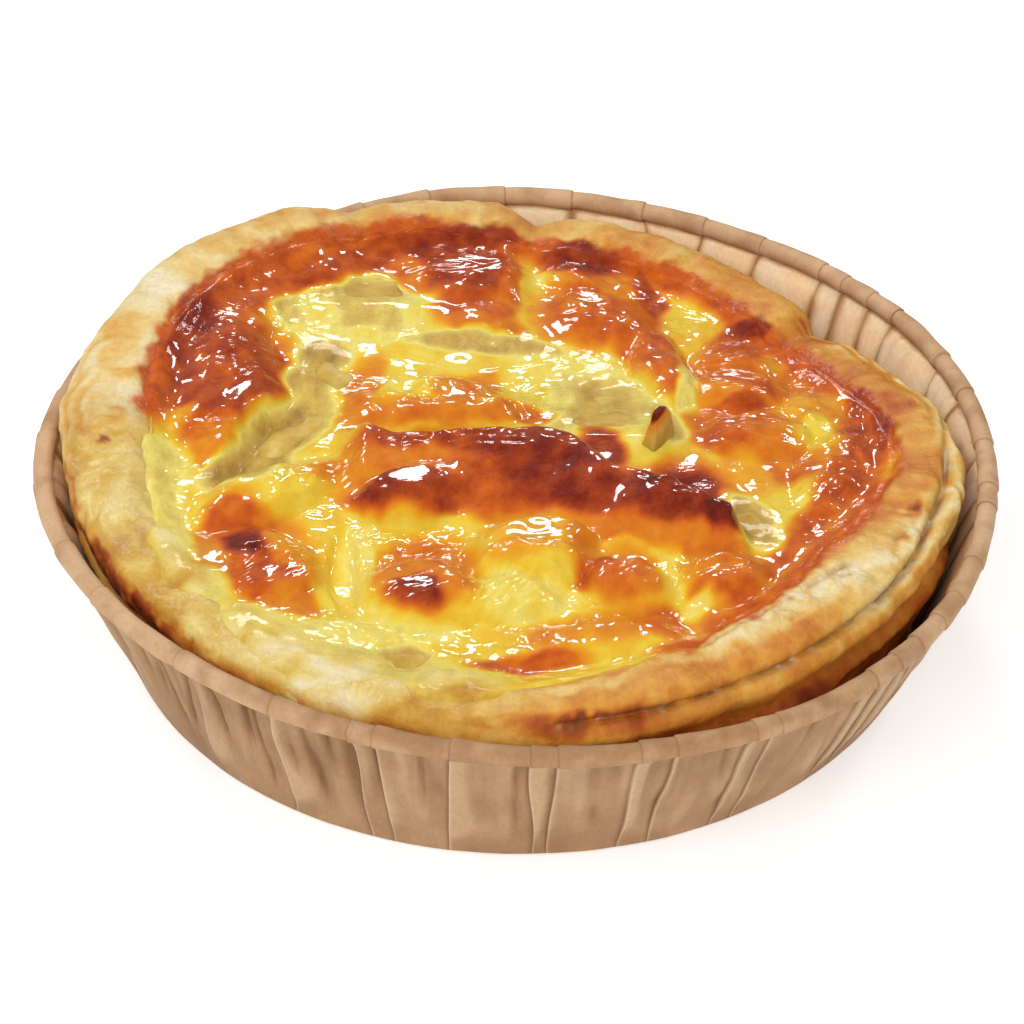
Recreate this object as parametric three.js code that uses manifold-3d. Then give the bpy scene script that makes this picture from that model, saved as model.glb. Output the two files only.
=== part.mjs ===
// Small puff-pastry quiche with potato, baked and served in a pleated paper case.
// Millimetres, +Z up. The origin is on the table, under the middle of the case, and +Y points to the back.
import * as THREE from "three";
import { mergeVertices } from "three/addons/utils/BufferGeometryUtils.js";
import Module from "manifold-3d";

const wasm = await Module();
wasm.setup();

// Driving dimensions
const CLEARANCE = 0.4; // air between two pieces that lie against each other
const MIDDLE_SHIFT = [0.8, -0.6]; // the modelling axis, seen from the middle of the finished outline

// Paper case
const PAPER = 0.6; // wall with its overlapping folds
const CASE_BASE_RADIUS = 50;
const CASE_RIM_RADIUS = 58.4; // middle of the rolled rim
const CASE_RIM_HEIGHT = 21.8;
const CASE_CORNER = 1.2;
const RIM_ROLL_RADIUS = 1.35;
const RIM_ROLL_OUTSIDE = 0.8; // the roll hangs this far outside the wall
const PLEAT_COUNT = 36;
const PLEAT_DEPTH = 0.45;
const PLEAT_SPREAD = 0.5; // share by which pleats differ in depth
// The soft rim strays from a circle in waves: how many round the rim, how far, and where one of them points.
const RIM_WAVES = [
  { count: 2, reach: 1.05, degrees: -47 },
  { count: 3, reach: 0.65, degrees: -46 },
  { count: 4, reach: 0.5, degrees: 15 },
  { count: 5, reach: 0.35, degrees: 29 },
];

// Pastry shell. The three outlines are read every 30 degrees, counter-clockwise from the right-hand side.
const CRUST_BOTTOM_RADIUS = 46.5;
const CRUST_FLOOR = 3.2; // thickness under the filling
const CRUST_FOOT = 1.5; // bevel round the bottom edge
const ROLL_HALF_HEIGHT = 3.2;
const LOWER_LAYER_DROP = 5.6; // from the middle of the roll down to the layer under it
const LOWER_LAYER_INSET = 0.4; // how far that layer stays behind the roll
const LAYER_GROOVE = 0.6; // depth of the groove between the two
const CUP_FOOT = 4; // the inner corner between wall and floor
const CUP_LEAN = 0.8;
const CRUST_OUTER = [54.5, 49.5, 51, 52.8, 55.8, 57, 56.6, 54.8, 54, 54, 53.5, 53];
const CRUST_EDGE = [45.5, 40.5, 41.8, 42.5, 46, 47.5, 45.5, 46, 47, 46.5, 43.5, 42];
const CRUST_CREST = [24, 23, 24, 26.4, 28.8, 30, 27.8, 24.5, 23.2, 23.8, 24.5, 24.2];
// Places where the pastry sheet folds over itself and the rim dips.
const CRUST_FOLDS = [
  { degrees: 37, width: 5, drop: 1.6 },
  { degrees: 88, width: 3.5, drop: 1.2 },
  { degrees: 117, width: 4, drop: 0.9 },
  { degrees: -61, width: 4, drop: 0.9 },
];

// Filling. Its skin sags in the middle, and lumps of browned cheese stand on it.
const FILL_BELOW_CREST = 2.3;
const FILL_MIDDLE_HEIGHT = 22.3;
// Lumps and hollows of the skin: middle, half length, half width, turn of the long side in degrees, height.
const LUMPS = [
  { x: -36.5, y: 9, long: 17, wide: 8.5, turn: -82, rise: 3.2 }, // left shield
  { x: -36, y: 23, long: 7, wide: 6, turn: 60, rise: 2 },
  { x: -25, y: 37, long: 12, wide: 4.5, turn: 32, rise: 1.4 }, // back edge
  { x: -6.5, y: 35, long: 10, wide: 8, turn: 0, rise: 2.6 }, // back middle
  { x: -5, y: 25, long: 5.5, wide: 6, turn: -60, rise: 2.2 },
  { x: 9.5, y: 36, long: 8, wide: 5, turn: -14, rise: 2 }, // back right
  { x: 10.5, y: 27, long: 8, wide: 7, turn: -40, rise: 2.6 },
  { x: 18, y: 16.5, long: 9.5, wide: 5, turn: -68, rise: 2.8 },
  { x: 29.5, y: 21, long: 8.5, wide: 5, turn: 20, rise: 2 }, // right
  { x: 27.5, y: 12.5, long: 7, wide: 5.5, turn: -6, rise: 2.2 },
  { x: 29, y: 2, long: 8, wide: 5.5, turn: 10, rise: 2.2 },
  { x: 38, y: 8, long: 8, wide: 5, turn: -70, rise: 1.4 },
  { x: 38.5, y: -5, long: 12, wide: 5, turn: -105, rise: 1.6 },
  { x: -14, y: -11, long: 7.5, wide: 4, turn: 14, rise: 4.2 }, // left end in front of the ridge
  { x: -9, y: 6, long: 14, wide: 6.5, turn: -3, rise: 3.7 }, // shelf behind the ridge
  { x: -31, y: -11, long: 13, wide: 5, turn: 32, rise: 2.6 }, // arm to the left edge
  { x: -31, y: -25.5, long: 10, wide: 8, turn: -50, rise: 3 }, // front left
  { x: -11.5, y: -29, long: 9, wide: 7, turn: -10, rise: 2.8 },
  { x: 1.5, y: -22.5, long: 8.5, wide: 6.5, turn: -15, rise: 4 }, // dome at the front
  { x: -2, y: -30.5, long: 7, wide: 4, turn: 0, rise: 2.4 },
  { x: 13, y: -28, long: 6.5, wide: 5, turn: -20, rise: 3 },
  { x: 24.5, y: -26.5, long: 6, wide: 5, turn: 20, rise: 3 },
  { x: 8.5, y: -38.5, long: 13, wide: 4.5, turn: 8, rise: 1.8 }, // front stripe
  { x: -22, y: -36, long: 10, wide: 4, turn: -18, rise: 1.2 },
];
// Crest of the dark ridge from left to right, with its height and the reach of its front slope.
const RIDGE = [
  { x: -24, y: -2, rise: 0, front: 10 },
  { x: -19, y: -2, rise: 4, front: 12 },
  { x: -9, y: -3.3, rise: 4.4, front: 13 },
  { x: 2, y: -2, rise: 5, front: 15 },
  { x: 7, y: -4.2, rise: 5, front: 15 },
  { x: 12, y: -10.5, rise: 4.6, front: 11 },
  { x: 18, y: -12.5, rise: 4.8, front: 9.5 },
  { x: 25, y: -17.8, rise: 4.4, front: 5 },
  { x: 28, y: -20, rise: 0, front: 4 },
];
const RIDGE_BACK = 4.5; // reach of the steep side behind the crest
const HOLLOWS = [
  { x: -29.5, y: 1, long: 12.5, wide: 5, turn: 56, rise: 4 }, // left pocket
  { x: -24.5, y: 15, long: 6, wide: 4, turn: 75, rise: 3.2 },
  { x: -19, y: 30, long: 6, wide: 5, turn: 0, rise: 1.2 },
  { x: -5, y: 19.7, long: 12, wide: 4.2, turn: 0, rise: 4 }, // pocket behind the shelf
  { x: 10.5, y: 6.5, long: 7, wide: 8, turn: 0, rise: 1.6 },
  { x: 23, y: -9, long: 14, wide: 4, turn: -52, rise: 2.6 }, // trough behind the ridge
  { x: -13.6, y: -40.5, long: 3.8, wide: 3, turn: 0, rise: 2.5 },
  { x: -21, y: -25, long: 9, wide: 2.2, turn: -87, rise: 2 }, // furrow
];
// Pieces of potato that the skin leaves bare: middle, height of the top, size, turn and lean in degrees.
const POTATOES = {
  potato_left: { x: -28.5, y: 2.5, top: 22.8, size: [15, 9, 8], turn: 55, lean: -16 },
  potato_left_slice: { x: -23.5, y: 14, top: 23.8, size: [7, 8, 7], turn: 60, lean: 12 },
  potato_back_left: { x: -19, y: 31, top: 25.2, size: [10, 7, 6], turn: 0, lean: -8 },
  potato_back: { x: -5, y: 20, top: 20.5, size: [19, 6.5, 6], turn: -2, lean: 6 },
  potato_disc: { x: 10.3, y: 6.8, top: 23.4, size: [12, 13.5, 6], turn: 0, lean: -8 },
  potato_standing: { x: 17.2, y: 0.6, top: 27, size: [6, 2.6, 10], turn: 58, lean: 0 },
  potato_strip: { x: 28, y: -15.5, top: 22.4, size: [11, 5, 6], turn: -62, lean: 4 },
  potato_front: { x: -13.6, y: -40.5, top: 21.5, size: [8, 5, 5], turn: 6, lean: 8 },
};

// Resolution of the faceted solids
const CASE_SEGMENTS = 3 * PLEAT_COUNT;
const CASE_WALL_STEPS = [CASE_CORNER, 8, 14]; // heights of the rings of points on the wall
const RIM_ROLL_STEPS = 6;
const CRUST_SEGMENTS = 78;
const ROLL_STEPS = 10;
const FILL_SEGMENTS = 76;
const FILL_RINGS = 17;
const POTATO_SEGMENTS = 12;
const POTATO_SQUARENESS = 0.62; // 1 is an ellipsoid, 0 a block

const radians = THREE.MathUtils.degToRad;
const lerp = THREE.MathUtils.lerp;

// Evenly spaced values from the first to the last.
function steps(first, last, count) {
  return Array.from({ length: count }, (_, i) => lerp(first, last, i / (count - 1)));
}

// Reads a list of values set evenly round the circle, on one smooth closed curve.
function roundReader(values) {
  const points = values.map((value) => new THREE.Vector3(value, 0, 0));
  const curve = new THREE.CatmullRomCurve3(points, true, "catmullrom", 0.5);
  const turn = 2 * Math.PI;
  return (angle) => curve.getPoint(THREE.MathUtils.euclideanModulo(angle, turn) / turn).x;
}

const crustOuterAt = roundReader(CRUST_OUTER);
const crustEdgeAt = roundReader(CRUST_EDGE);
const crustCrestAt = roundReader(CRUST_CREST);

// A closed solid whose section changes with the angle. A lathe gives the faces, and each column of its
// points then takes the section of its own angle. A section starts under the axis and ends above it.
function turnedSolid(sectionAt, segments) {
  const profile = sectionAt(0).map(([radius, height]) => new THREE.Vector2(radius, height));
  const geometry = new THREE.LatheGeometry(profile, segments);
  const position = geometry.getAttribute("position");
  for (let column = 0; column <= segments; column++) {
    const angle = (2 * Math.PI * (column % segments)) / segments;
    sectionAt(angle).forEach(([radius, height], row) => {
      const place = [radius * Math.cos(angle), radius * Math.sin(angle), height];
      position.setXYZ(column * profile.length + row, ...place);
    });
  }
  return closedGeometry(geometry);
}

// Merges shared points and drops the faces that shrink to nothing on the axis.
function closedGeometry(geometry) {
  geometry.deleteAttribute("normal");
  geometry.deleteAttribute("uv");
  const merged = mergeVertices(geometry, 1e-4);
  const kept = [];
  const corners = merged.index.array;
  for (let i = 0; i < corners.length; i += 3) {
    const [a, b, c] = corners.slice(i, i + 3);
    if (a !== b && b !== c && a !== c) kept.push(a, b, c);
  }
  merged.setIndex(kept);
  return merged;
}

function toManifold(geometry) {
  const vertProperties = new Float32Array(geometry.getAttribute("position").array);
  const triVerts = new Uint32Array(geometry.index.array);
  return new wasm.Manifold(new wasm.Mesh({ numProp: 3, vertProperties, triVerts }));
}

function toGeometry(manifold) {
  const { vertProperties, triVerts } = manifold.getMesh();
  const geometry = new THREE.BufferGeometry();
  geometry.setAttribute("position", new THREE.BufferAttribute(vertProperties, 3));
  geometry.setIndex(new THREE.BufferAttribute(triVerts, 1));
  return geometry;
}

// Paper case
function rimStray(angle) {
  const wave = ({ count, reach, degrees }) => reach * Math.cos(count * (angle - radians(degrees)));
  return RIM_WAVES.reduce((sum, each) => sum + wave(each), 0);
}

// Middle of the paper wall, without its pleats.
function wallRadius(angle, height) {
  const share = height / CASE_RIM_HEIGHT;
  const top = CASE_RIM_RADIUS - RIM_ROLL_OUTSIDE;
  return lerp(CASE_BASE_RADIUS, top, share) + share * rimStray(angle);
}

// One fold in three columns, deepest halfway up the wall and pressed flat at the base and in the rim.
function pleat(angle, height) {
  const share = THREE.MathUtils.clamp(height / CASE_RIM_HEIGHT, 0, 1);
  const uneven = 1 + PLEAT_SPREAD * Math.sin(7 * angle) * Math.cos(5 * angle);
  return PLEAT_DEPTH * uneven * Math.sin(Math.PI * share) * Math.cos(PLEAT_COUNT * angle);
}

function caseSection(angle) {
  const wallAt = (height, side) => [
    wallRadius(angle, height) + pleat(angle, height) + (side * PAPER) / 2,
    height,
  ];
  const rollMiddle = CASE_RIM_RADIUS + rimStray(angle);
  const rollAt = (degrees) => [
    rollMiddle + RIM_ROLL_RADIUS * Math.cos(radians(degrees)),
    CASE_RIM_HEIGHT + RIM_ROLL_RADIUS * Math.sin(radians(degrees)),
  ];
  const baseEdge = CASE_BASE_RADIUS - CASE_CORNER;
  return [
    [0, 0],
    [baseEdge, 0],
    [CASE_BASE_RADIUS - 0.25 * CASE_CORNER, 0.3 * CASE_CORNER],
    ...CASE_WALL_STEPS.map((height) => wallAt(height, 1)),
    ...steps(-100, 150, RIM_ROLL_STEPS).map(rollAt),
    ...CASE_WALL_STEPS.toReversed().map((height) => wallAt(height, -1)),
    [baseEdge - PAPER / 2, PAPER],
    [0, PAPER],
  ];
}

// The innermost the paper reaches at a height, so that the pastry can lean against it.
function caseInside(angle, height) {
  const clear = PLEAT_DEPTH * (1 + PLEAT_SPREAD) + PAPER / 2;
  const wall = wallRadius(angle, Math.min(height, CASE_RIM_HEIGHT)) - clear;
  const overRim = height > CASE_RIM_HEIGHT + RIM_ROLL_RADIUS + CLEARANCE;
  return overRim ? Infinity : wall;
}

// Pastry shell
function foldDrop(angle) {
  const drop = ({ degrees, width, drop: depth }) => {
    const away = THREE.MathUtils.euclideanModulo(angle - radians(degrees) + Math.PI, 2 * Math.PI) - Math.PI;
    return depth * Math.exp(-((away / radians(width)) ** 2));
  };
  return CRUST_FOLDS.reduce((sum, each) => sum + drop(each), 0);
}

const crustBottom = PAPER + CLEARANCE;
const floorHeight = crustBottom + CRUST_FLOOR;
const crestAt = (angle) => crustCrestAt(angle) - foldDrop(angle);

function crustSection(angle) {
  const outer = crustOuterAt(angle) - foldDrop(angle);
  const edge = crustEdgeAt(angle);
  const rollHeight = crestAt(angle) - ROLL_HALF_HEIGHT;
  const rollMiddle = (outer + edge) / 2;
  const rollHalfWidth = (outer - edge) / 2;
  const rollAt = (degrees) => [
    rollMiddle + rollHalfWidth * Math.cos(radians(degrees)),
    rollHeight + ROLL_HALF_HEIGHT * Math.sin(radians(degrees)),
  ];
  const layerHeight = rollHeight - LOWER_LAYER_DROP;
  const layerRadius = outer - LOWER_LAYER_INSET;
  const section = [
    [0, crustBottom],
    [CRUST_BOTTOM_RADIUS - CRUST_FOOT, crustBottom],
    [CRUST_BOTTOM_RADIUS, crustBottom + CRUST_FOOT / 2],
    [lerp(CRUST_BOTTOM_RADIUS, layerRadius, 0.6), layerHeight / 2],
    [layerRadius - LAYER_GROOVE, layerHeight - ROLL_HALF_HEIGHT / 2],
    [layerRadius, layerHeight],
    [layerRadius - LAYER_GROOVE, layerHeight + ROLL_HALF_HEIGHT / 2],
    ...steps(-48, 180, ROLL_STEPS).map(rollAt),
    [edge - CUP_LEAN, floorHeight + CUP_FOOT],
    [edge - CUP_FOOT, floorHeight],
    [0, floorHeight],
  ];
  const lean = ([radius, height]) => Math.min(radius, caseInside(angle, height) - CLEARANCE);
  return section.map((point) => [lean(point), point[1]]);
}

// Filling
// A round-topped rise that ends level where the squared share of its reach is 1.
function dome(rise, share) {
  return rise * Math.max(0, 1 - share) ** 1.5;
}

// How far a lump lifts the skin: full in the middle of its oval, nothing outside.
function swell({ x, y, long, wide, turn, rise }, px, py) {
  const along = Math.cos(radians(turn));
  const across = Math.sin(radians(turn));
  const u = ((px - x) * along + (py - y) * across) / long;
  const v = ((py - y) * along - (px - x) * across) / wide;
  return dome(rise, u * u + v * v);
}

function ridgeLift(px, py) {
  const next = RIDGE.findIndex(({ x }) => x > px);
  if (next < 1) return 0;
  const [from, to] = [RIDGE[next - 1], RIDGE[next]];
  const read = (key) => lerp(from[key], to[key], (px - from.x) / (to.x - from.x));
  const behind = py - read("y");
  const reach = behind > 0 ? RIDGE_BACK : read("front");
  return dome(read("rise"), (behind / reach) ** 2);
}

// Height of the filling's skin. The ridge and the lumps merge where they meet, and hollows cut into all of them.
function skinHeight(x, y) {
  const angle = Math.atan2(y, x);
  const share = Math.hypot(x, y) / crustEdgeAt(angle);
  const level = lerp(FILL_MIDDLE_HEIGHT, crestAt(angle) - FILL_BELOW_CREST, share ** 3);
  const fade = 1 - share ** 10;
  const rises = [ridgeLift(x, y), ...LUMPS.map((lump) => swell(lump, x, y))];
  const lift = Math.cbrt(rises.reduce((sum, rise) => sum + rise ** 3, 0));
  const sink = HOLLOWS.reduce((deepest, hollow) => Math.max(deepest, swell(hollow, x, y)), 0);
  return level + fade * (lift - sink);
}

function fillingSection(angle) {
  const edge = crustEdgeAt(angle);
  const rim = edge - CLEARANCE;
  const rings = Array.from({ length: FILL_RINGS }, (_, i) => rim * (1 - i / FILL_RINGS));
  const skin = [...rings, 0].map((radius) => [
    radius,
    skinHeight(radius * Math.cos(angle), radius * Math.sin(angle)),
  ]);
  return [
    [0, floorHeight + CLEARANCE],
    [edge - CUP_FOOT - CLEARANCE, floorHeight + CLEARANCE],
    [edge - CUP_LEAN - 1.3 * CLEARANCE, floorHeight + CUP_FOOT + CLEARANCE],
    ...skin,
  ];
}

// Potato: a block with rounded edges, set in its place. The margin widens it all round.
function potatoGeometry({ x, y, top, size, turn, lean }, margin) {
  const geometry = new THREE.SphereGeometry(1, POTATO_SEGMENTS, POTATO_SEGMENTS / 2 + 2);
  const position = geometry.getAttribute("position");
  for (let i = 0; i < position.count; i++) {
    const point = [position.getX(i), position.getY(i), position.getZ(i)];
    const blunt = (value) => Math.sign(value) * Math.abs(value) ** POTATO_SQUARENESS;
    position.setXYZ(i, ...point.map((value, axis) => blunt(value) * (size[axis] / 2 + margin)));
  }
  geometry.rotateX(radians(lean));
  geometry.rotateZ(radians(turn));
  geometry.translate(x, y, top - size[2] / 2);
  return closedGeometry(geometry);
}

// The filling closes round the potato and leaves a thin gap to it.
function fillingGeometry() {
  let filling = toManifold(turnedSolid(fillingSection, FILL_SEGMENTS));
  for (const potato of Object.values(POTATOES)) {
    filling = filling.subtract(toManifold(potatoGeometry(potato, CLEARANCE)));
  }
  const [largest] = filling.decompose().sort((a, b) => b.volume() - a.volume());
  return toGeometry(largest);
}

const kraft = new THREE.MeshStandardMaterial({ color: 0xc79a6b, roughness: 0.85, metalness: 0 });
const pastry = new THREE.MeshStandardMaterial({ color: 0xdcb063, roughness: 0.7, metalness: 0 });
const custard = new THREE.MeshStandardMaterial({ color: 0xe0a02e, roughness: 0.25, metalness: 0 });
const potatoFlesh = new THREE.MeshStandardMaterial({ color: 0xd8c878, roughness: 0.3, metalness: 0 });

function named(name, geometry, material) {
  const mesh = new THREE.Mesh(geometry, material);
  mesh.name = name;
  return mesh;
}

const quiche = new THREE.Group();
quiche.position.set(...MIDDLE_SHIFT, 0);
quiche.add(named("paper_case", turnedSolid(caseSection, CASE_SEGMENTS), kraft));
quiche.add(named("crust", turnedSolid(crustSection, CRUST_SEGMENTS), pastry));
quiche.add(named("filling", fillingGeometry(), custard));
for (const [name, potato] of Object.entries(POTATOES)) {
  quiche.add(named(name, potatoGeometry(potato, 0), potatoFlesh));
}

export default quiche;
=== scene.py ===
"""Small puff-pastry quiche in a pleated paper case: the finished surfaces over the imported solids.

Shapes are worked out in millimetres, in the part's own modelling axes, and become metres when a mesh is
made. A noise is given by its strength, the size of its bumps and its seed.
"""
import itertools
import math

import bpy
import numpy as np
from mathutils import Euler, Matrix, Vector


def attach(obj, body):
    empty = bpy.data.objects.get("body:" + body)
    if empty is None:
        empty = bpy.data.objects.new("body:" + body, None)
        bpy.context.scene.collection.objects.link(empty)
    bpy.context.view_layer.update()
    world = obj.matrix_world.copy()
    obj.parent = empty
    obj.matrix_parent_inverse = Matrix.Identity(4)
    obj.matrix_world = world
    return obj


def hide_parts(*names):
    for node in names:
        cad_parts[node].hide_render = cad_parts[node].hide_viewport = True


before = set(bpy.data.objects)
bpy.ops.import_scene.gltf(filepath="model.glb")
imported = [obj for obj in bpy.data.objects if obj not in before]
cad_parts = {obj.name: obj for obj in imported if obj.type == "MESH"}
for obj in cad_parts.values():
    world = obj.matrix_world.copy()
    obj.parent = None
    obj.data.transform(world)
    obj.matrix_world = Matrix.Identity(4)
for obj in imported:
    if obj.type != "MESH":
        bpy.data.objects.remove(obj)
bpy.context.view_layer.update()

MM = 0.001
MIDDLE_SHIFT = np.array([0.8, -0.6, 0.0])  # the modelling axis, seen from the middle of the outline
CLEARANCE = 0.4

# Paper case
PAPER = 0.6
CASE_BASE_RADIUS = 50.0
CASE_RIM_RADIUS = 58.4
CASE_RIM_HEIGHT = 21.8
CASE_CORNER = 1.2
RIM_ROLL_RADIUS = 1.35
RIM_ROLL_OUTSIDE = 0.8
PLEAT_DEPTH = 0.45
PLEAT_SPREAD = 0.5
RIM_WAVES = [(2, 1.05, -47), (3, 0.65, -46), (4, 0.5, 15), (5, 0.35, 29)]  # count, reach, direction
# Directions in which the paper laps over itself, counter-clockwise from the right-hand side.
CREASES = [
    -173, -160, -150, -134, -120, -110, -107, -98, -89, -86, -77, -73, -64, -61, -48, -44, -40, -35, -30, -23,
    -12, -8, 1, 12, 20, 31, 36, 41, 45, 55, 64, 73, 83, 92, 102, 111, 121, 128, 139, 150, 158, 168, 177,
]

# Pastry shell, outlines read every 30 degrees
CRUST_BOTTOM_RADIUS = 46.5
CRUST_FLOOR = 3.2
CRUST_FOOT = 1.5
ROLL_HALF_HEIGHT = 3.2
LOWER_LAYER_DROP = 5.6
LOWER_LAYER_INSET = 0.4
LAYER_GROOVE = 0.6
CUP_FOOT = 4.0
CUP_LEAN = 0.8
CRUST_OUTER = [54.5, 49.5, 51, 52.8, 55.8, 57, 56.6, 54.8, 54, 54, 53.5, 53]
CRUST_EDGE = [45.5, 40.5, 41.8, 42.5, 46, 47.5, 45.5, 46, 47, 46.5, 43.5, 42]
CRUST_CREST = [24, 23, 24, 26.4, 28.8, 30, 27.8, 24.5, 23.2, 23.8, 24.5, 24.2]
CRUST_FOLDS = [(37, 4, 1.2), (88, 3.5, 1.2), (117, 4, 0.9), (-61, 4, 0.9)]  # direction, width, drop

# Filling: lumps and hollows as x, y, half length, half width, turn, rise
FILL_BELOW_CREST = 2.3
FILL_MIDDLE_HEIGHT = 22.3
LUMPS = [
    (-36.5, 9, 17, 8.5, -82, 3.2), (-36, 23, 7, 6, 60, 2), (-25, 37, 12, 4.5, 32, 1.4),
    (-6.5, 35, 10, 8, 0, 2.6), (-5, 25, 5.5, 6, -60, 2.2), (9.5, 36, 8, 5, -14, 2),
    (10.5, 27, 8, 7, -40, 2.6), (18, 16.5, 9.5, 5, -68, 2.8), (29.5, 21, 8.5, 5, 20, 2),
    (27.5, 12.5, 7, 5.5, -6, 2.2), (29, 2, 8, 5.5, 10, 2.2), (38, 8, 8, 5, -70, 1.4),
    (38.5, -5, 12, 5, -105, 1.6), (-13, -11, 9, 4.4, 10, 3.8), (-9, 6.5, 14, 7.2, -3, 3.7),
    (-31, -11, 13, 5, 32, 2.6), (-31, -25.5, 10, 8, -50, 3), (-11.5, -29, 9, 7, -10, 2.8),
    (1.5, -22, 9, 6.5, -15, 3.2), (-2, -30.5, 8, 4.5, 0, 1.8), (13, -28, 6.5, 5, -20, 3),
    (24.5, -26.5, 6, 5, 20, 3), (8.5, -38.5, 13, 4.5, 8, 1.8), (-22, -36, 10, 4, -18, 1.2),
]
# Crest of the dark ridge: x, y, rise, reach of the front slope
RIDGE = [
    (-24, -2, 0, 10), (-19, -2, 4, 12), (-9, -3.3, 4.4, 13), (2, -2, 5, 15), (7, -4.2, 5, 15),
    (12, -10.5, 4.6, 11), (18, -12.5, 4.8, 9.5), (25, -17.8, 4.4, 5), (28, -20, 0, 4),
]
RIDGE_BACK = 4.5
HOLLOWS = [
    (-29.5, 1, 12.5, 5, 56, 4), (-24.5, 15, 6, 4, 75, 3.2), (-19, 30, 6, 5, 0, 1.2),
    (-5, 19.7, 12, 4.2, 0, 4), (10.5, 6.5, 7, 8, 0, 1.6), (23, -9, 14, 4, -52, 2.6),
    (-13.6, -40.5, 3.8, 3, 0, 2.5), (-21, -25, 9, 2.2, -87, 2), (16.5, 0, 4.5, 4, 0, 2.6),
]
# Potato pieces: middle, top, size, turn, lean, and how much of the top stands clear of the custard
POTATOES = {
    "potato_left": (-28.5, 2.5, 22.8, (15, 9, 8), 55, -16, 0.2),
    "potato_left_slice": (-23.5, 14, 23.8, (7, 8, 7), 60, 12, 0.1),
    "potato_back_left": (-19, 31, 25.2, (10, 7, 6), 0, -8, 0.0),
    "potato_back": (-5, 20, 20.5, (19, 6.5, 6), -2, 6, 0.8),
    "potato_disc": (10.3, 6.8, 23.4, (12, 13.5, 6), 0, -8, -0.15),
    "potato_standing": (17.0, 0.2, 28.0, (6.8, 3, 11), 58, 0, 7.5),
    "potato_strip": (28, -15.5, 22.4, (11, 5, 6), -62, 4, -0.3),
    "potato_front": (-13.6, -40.5, 21.5, (8, 5, 5), 6, 8, 0.1),
}
POTATO_BANK = 0.16  # fall of the custard for each millimetre away from a piece
# Custard that ran over the crust: direction, half width, and how far over the rim's section it reaches
OVERFLOW = [(-147, 16, 0.5), (-122, 18, 0.68), (-98, 14, 0.5)]
OVERFLOW_LEAST = 0.2  # elsewhere the skin ends on the inner side of the rim
# Wrinkled patches of the skin: x, y, half length, half width, turn, depth
WRINKLES = [
    (-7, 38, 9, 6, 4, 0.3), (7, 38, 6, 5, -20, 0.3), (10, 28, 6, 5, -15, 0.25), (-35, 14, 6, 5, 35, 0.25),
    (-38, 1, 4, 3, 20, 0.25), (-15, 8, 6, 5, -50, 0.3), (-2, 8, 5, 4, -20, 0.2), (-6, -4, 13, 2, -3, 0.3),
    (1, -20, 9, 5, 10, 0.2), (-29, -26, 6, 5, 38, 0.32), (-24, -8, 6, 3, 40, 0.25),
    (-13, -20, 7, 3, 8, 0.3), (-12, -31, 5, 3, 15, 0.25), (28, 15, 7, 5, -8, 0.32),
    (29, 22, 6, 3, 25, 0.25), (43, 4, 8, 4, -85, 0.35), (24, -27, 5, 4, 20, 0.35),
    (12, -28, 5, 4, 25, 0.25), (20, -15, 6, 3, -30, 0.3), (-2, -30, 6, 4, 50, 0.4),
    (2, -25, 6, 3, -10, 0.3), (6, -34, 8, 3, 12, 0.25), (0, -43, 10, 3, 5, 0.4), (36, -12, 9, 3, -118, 0.3),
    (28, 2, 6, 4, 0, 0.25), (-26, -36, 10, 4, -20, 0.25),
]
# Level tops of the skin, which mirror the light from the back: x, y, half length, half width, turn
LEVEL_TOPS = [
    (2.5, -20, 7.5, 3.5, 8), (-28.5, -27.5, 5.5, 3, 20), (-33, -23.5, 2.5, 1.4, 10), (-6.5, 35.5, 7, 3, 3),
    (9, 30, 4, 2, -10), (-14, -10.5, 4.5, 2, 8), (24, -27.5, 4, 2.5, 15), (28, 14, 4, 2, -8),
    (6, -43, 7, 1.6, 5), (-12, -30, 3, 1.8, 10), (-35, 6, 3, 1.4, 50), (-15, 9, 3, 3, -50),
]
WRINKLE_STRENGTH = 0.75
WRINKLE_SIZE = 1.1
WRINKLE_STRETCH = 3.5
LEVEL_SHARE = 0.93  # how nearly flat the level tops are

# Runs of the rim with a surface of their own: first and last direction, and the fade beyond them
SOAKED_RUN = (-170, -102, 16)
LAYER_RUN = (-82, -4, 6)
CRACK_RUN = (-60, -22, 5)
SHEET_RUNS = [(166, 202, 8), (-34, 34, 8)]
SLUMP_RUN = (22, 108, 16)
SHEETS = 5  # thin layers of pastry over the section
SHEET_DEPTH = 0.13
SLUMP = 1.0
RIM_RADIUS = 50.0  # about the middle of the rim

# How far the pastry is baked, round the rim every 30 degrees, from -0.1 for flour to 1 for burnt
CRUST_TONE = [0.46, 0.46, 0.38, 0.32, 0.24, 0.15, 0.14, 0.16, 0.24, 0.4, 0.46, 0.32]
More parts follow.
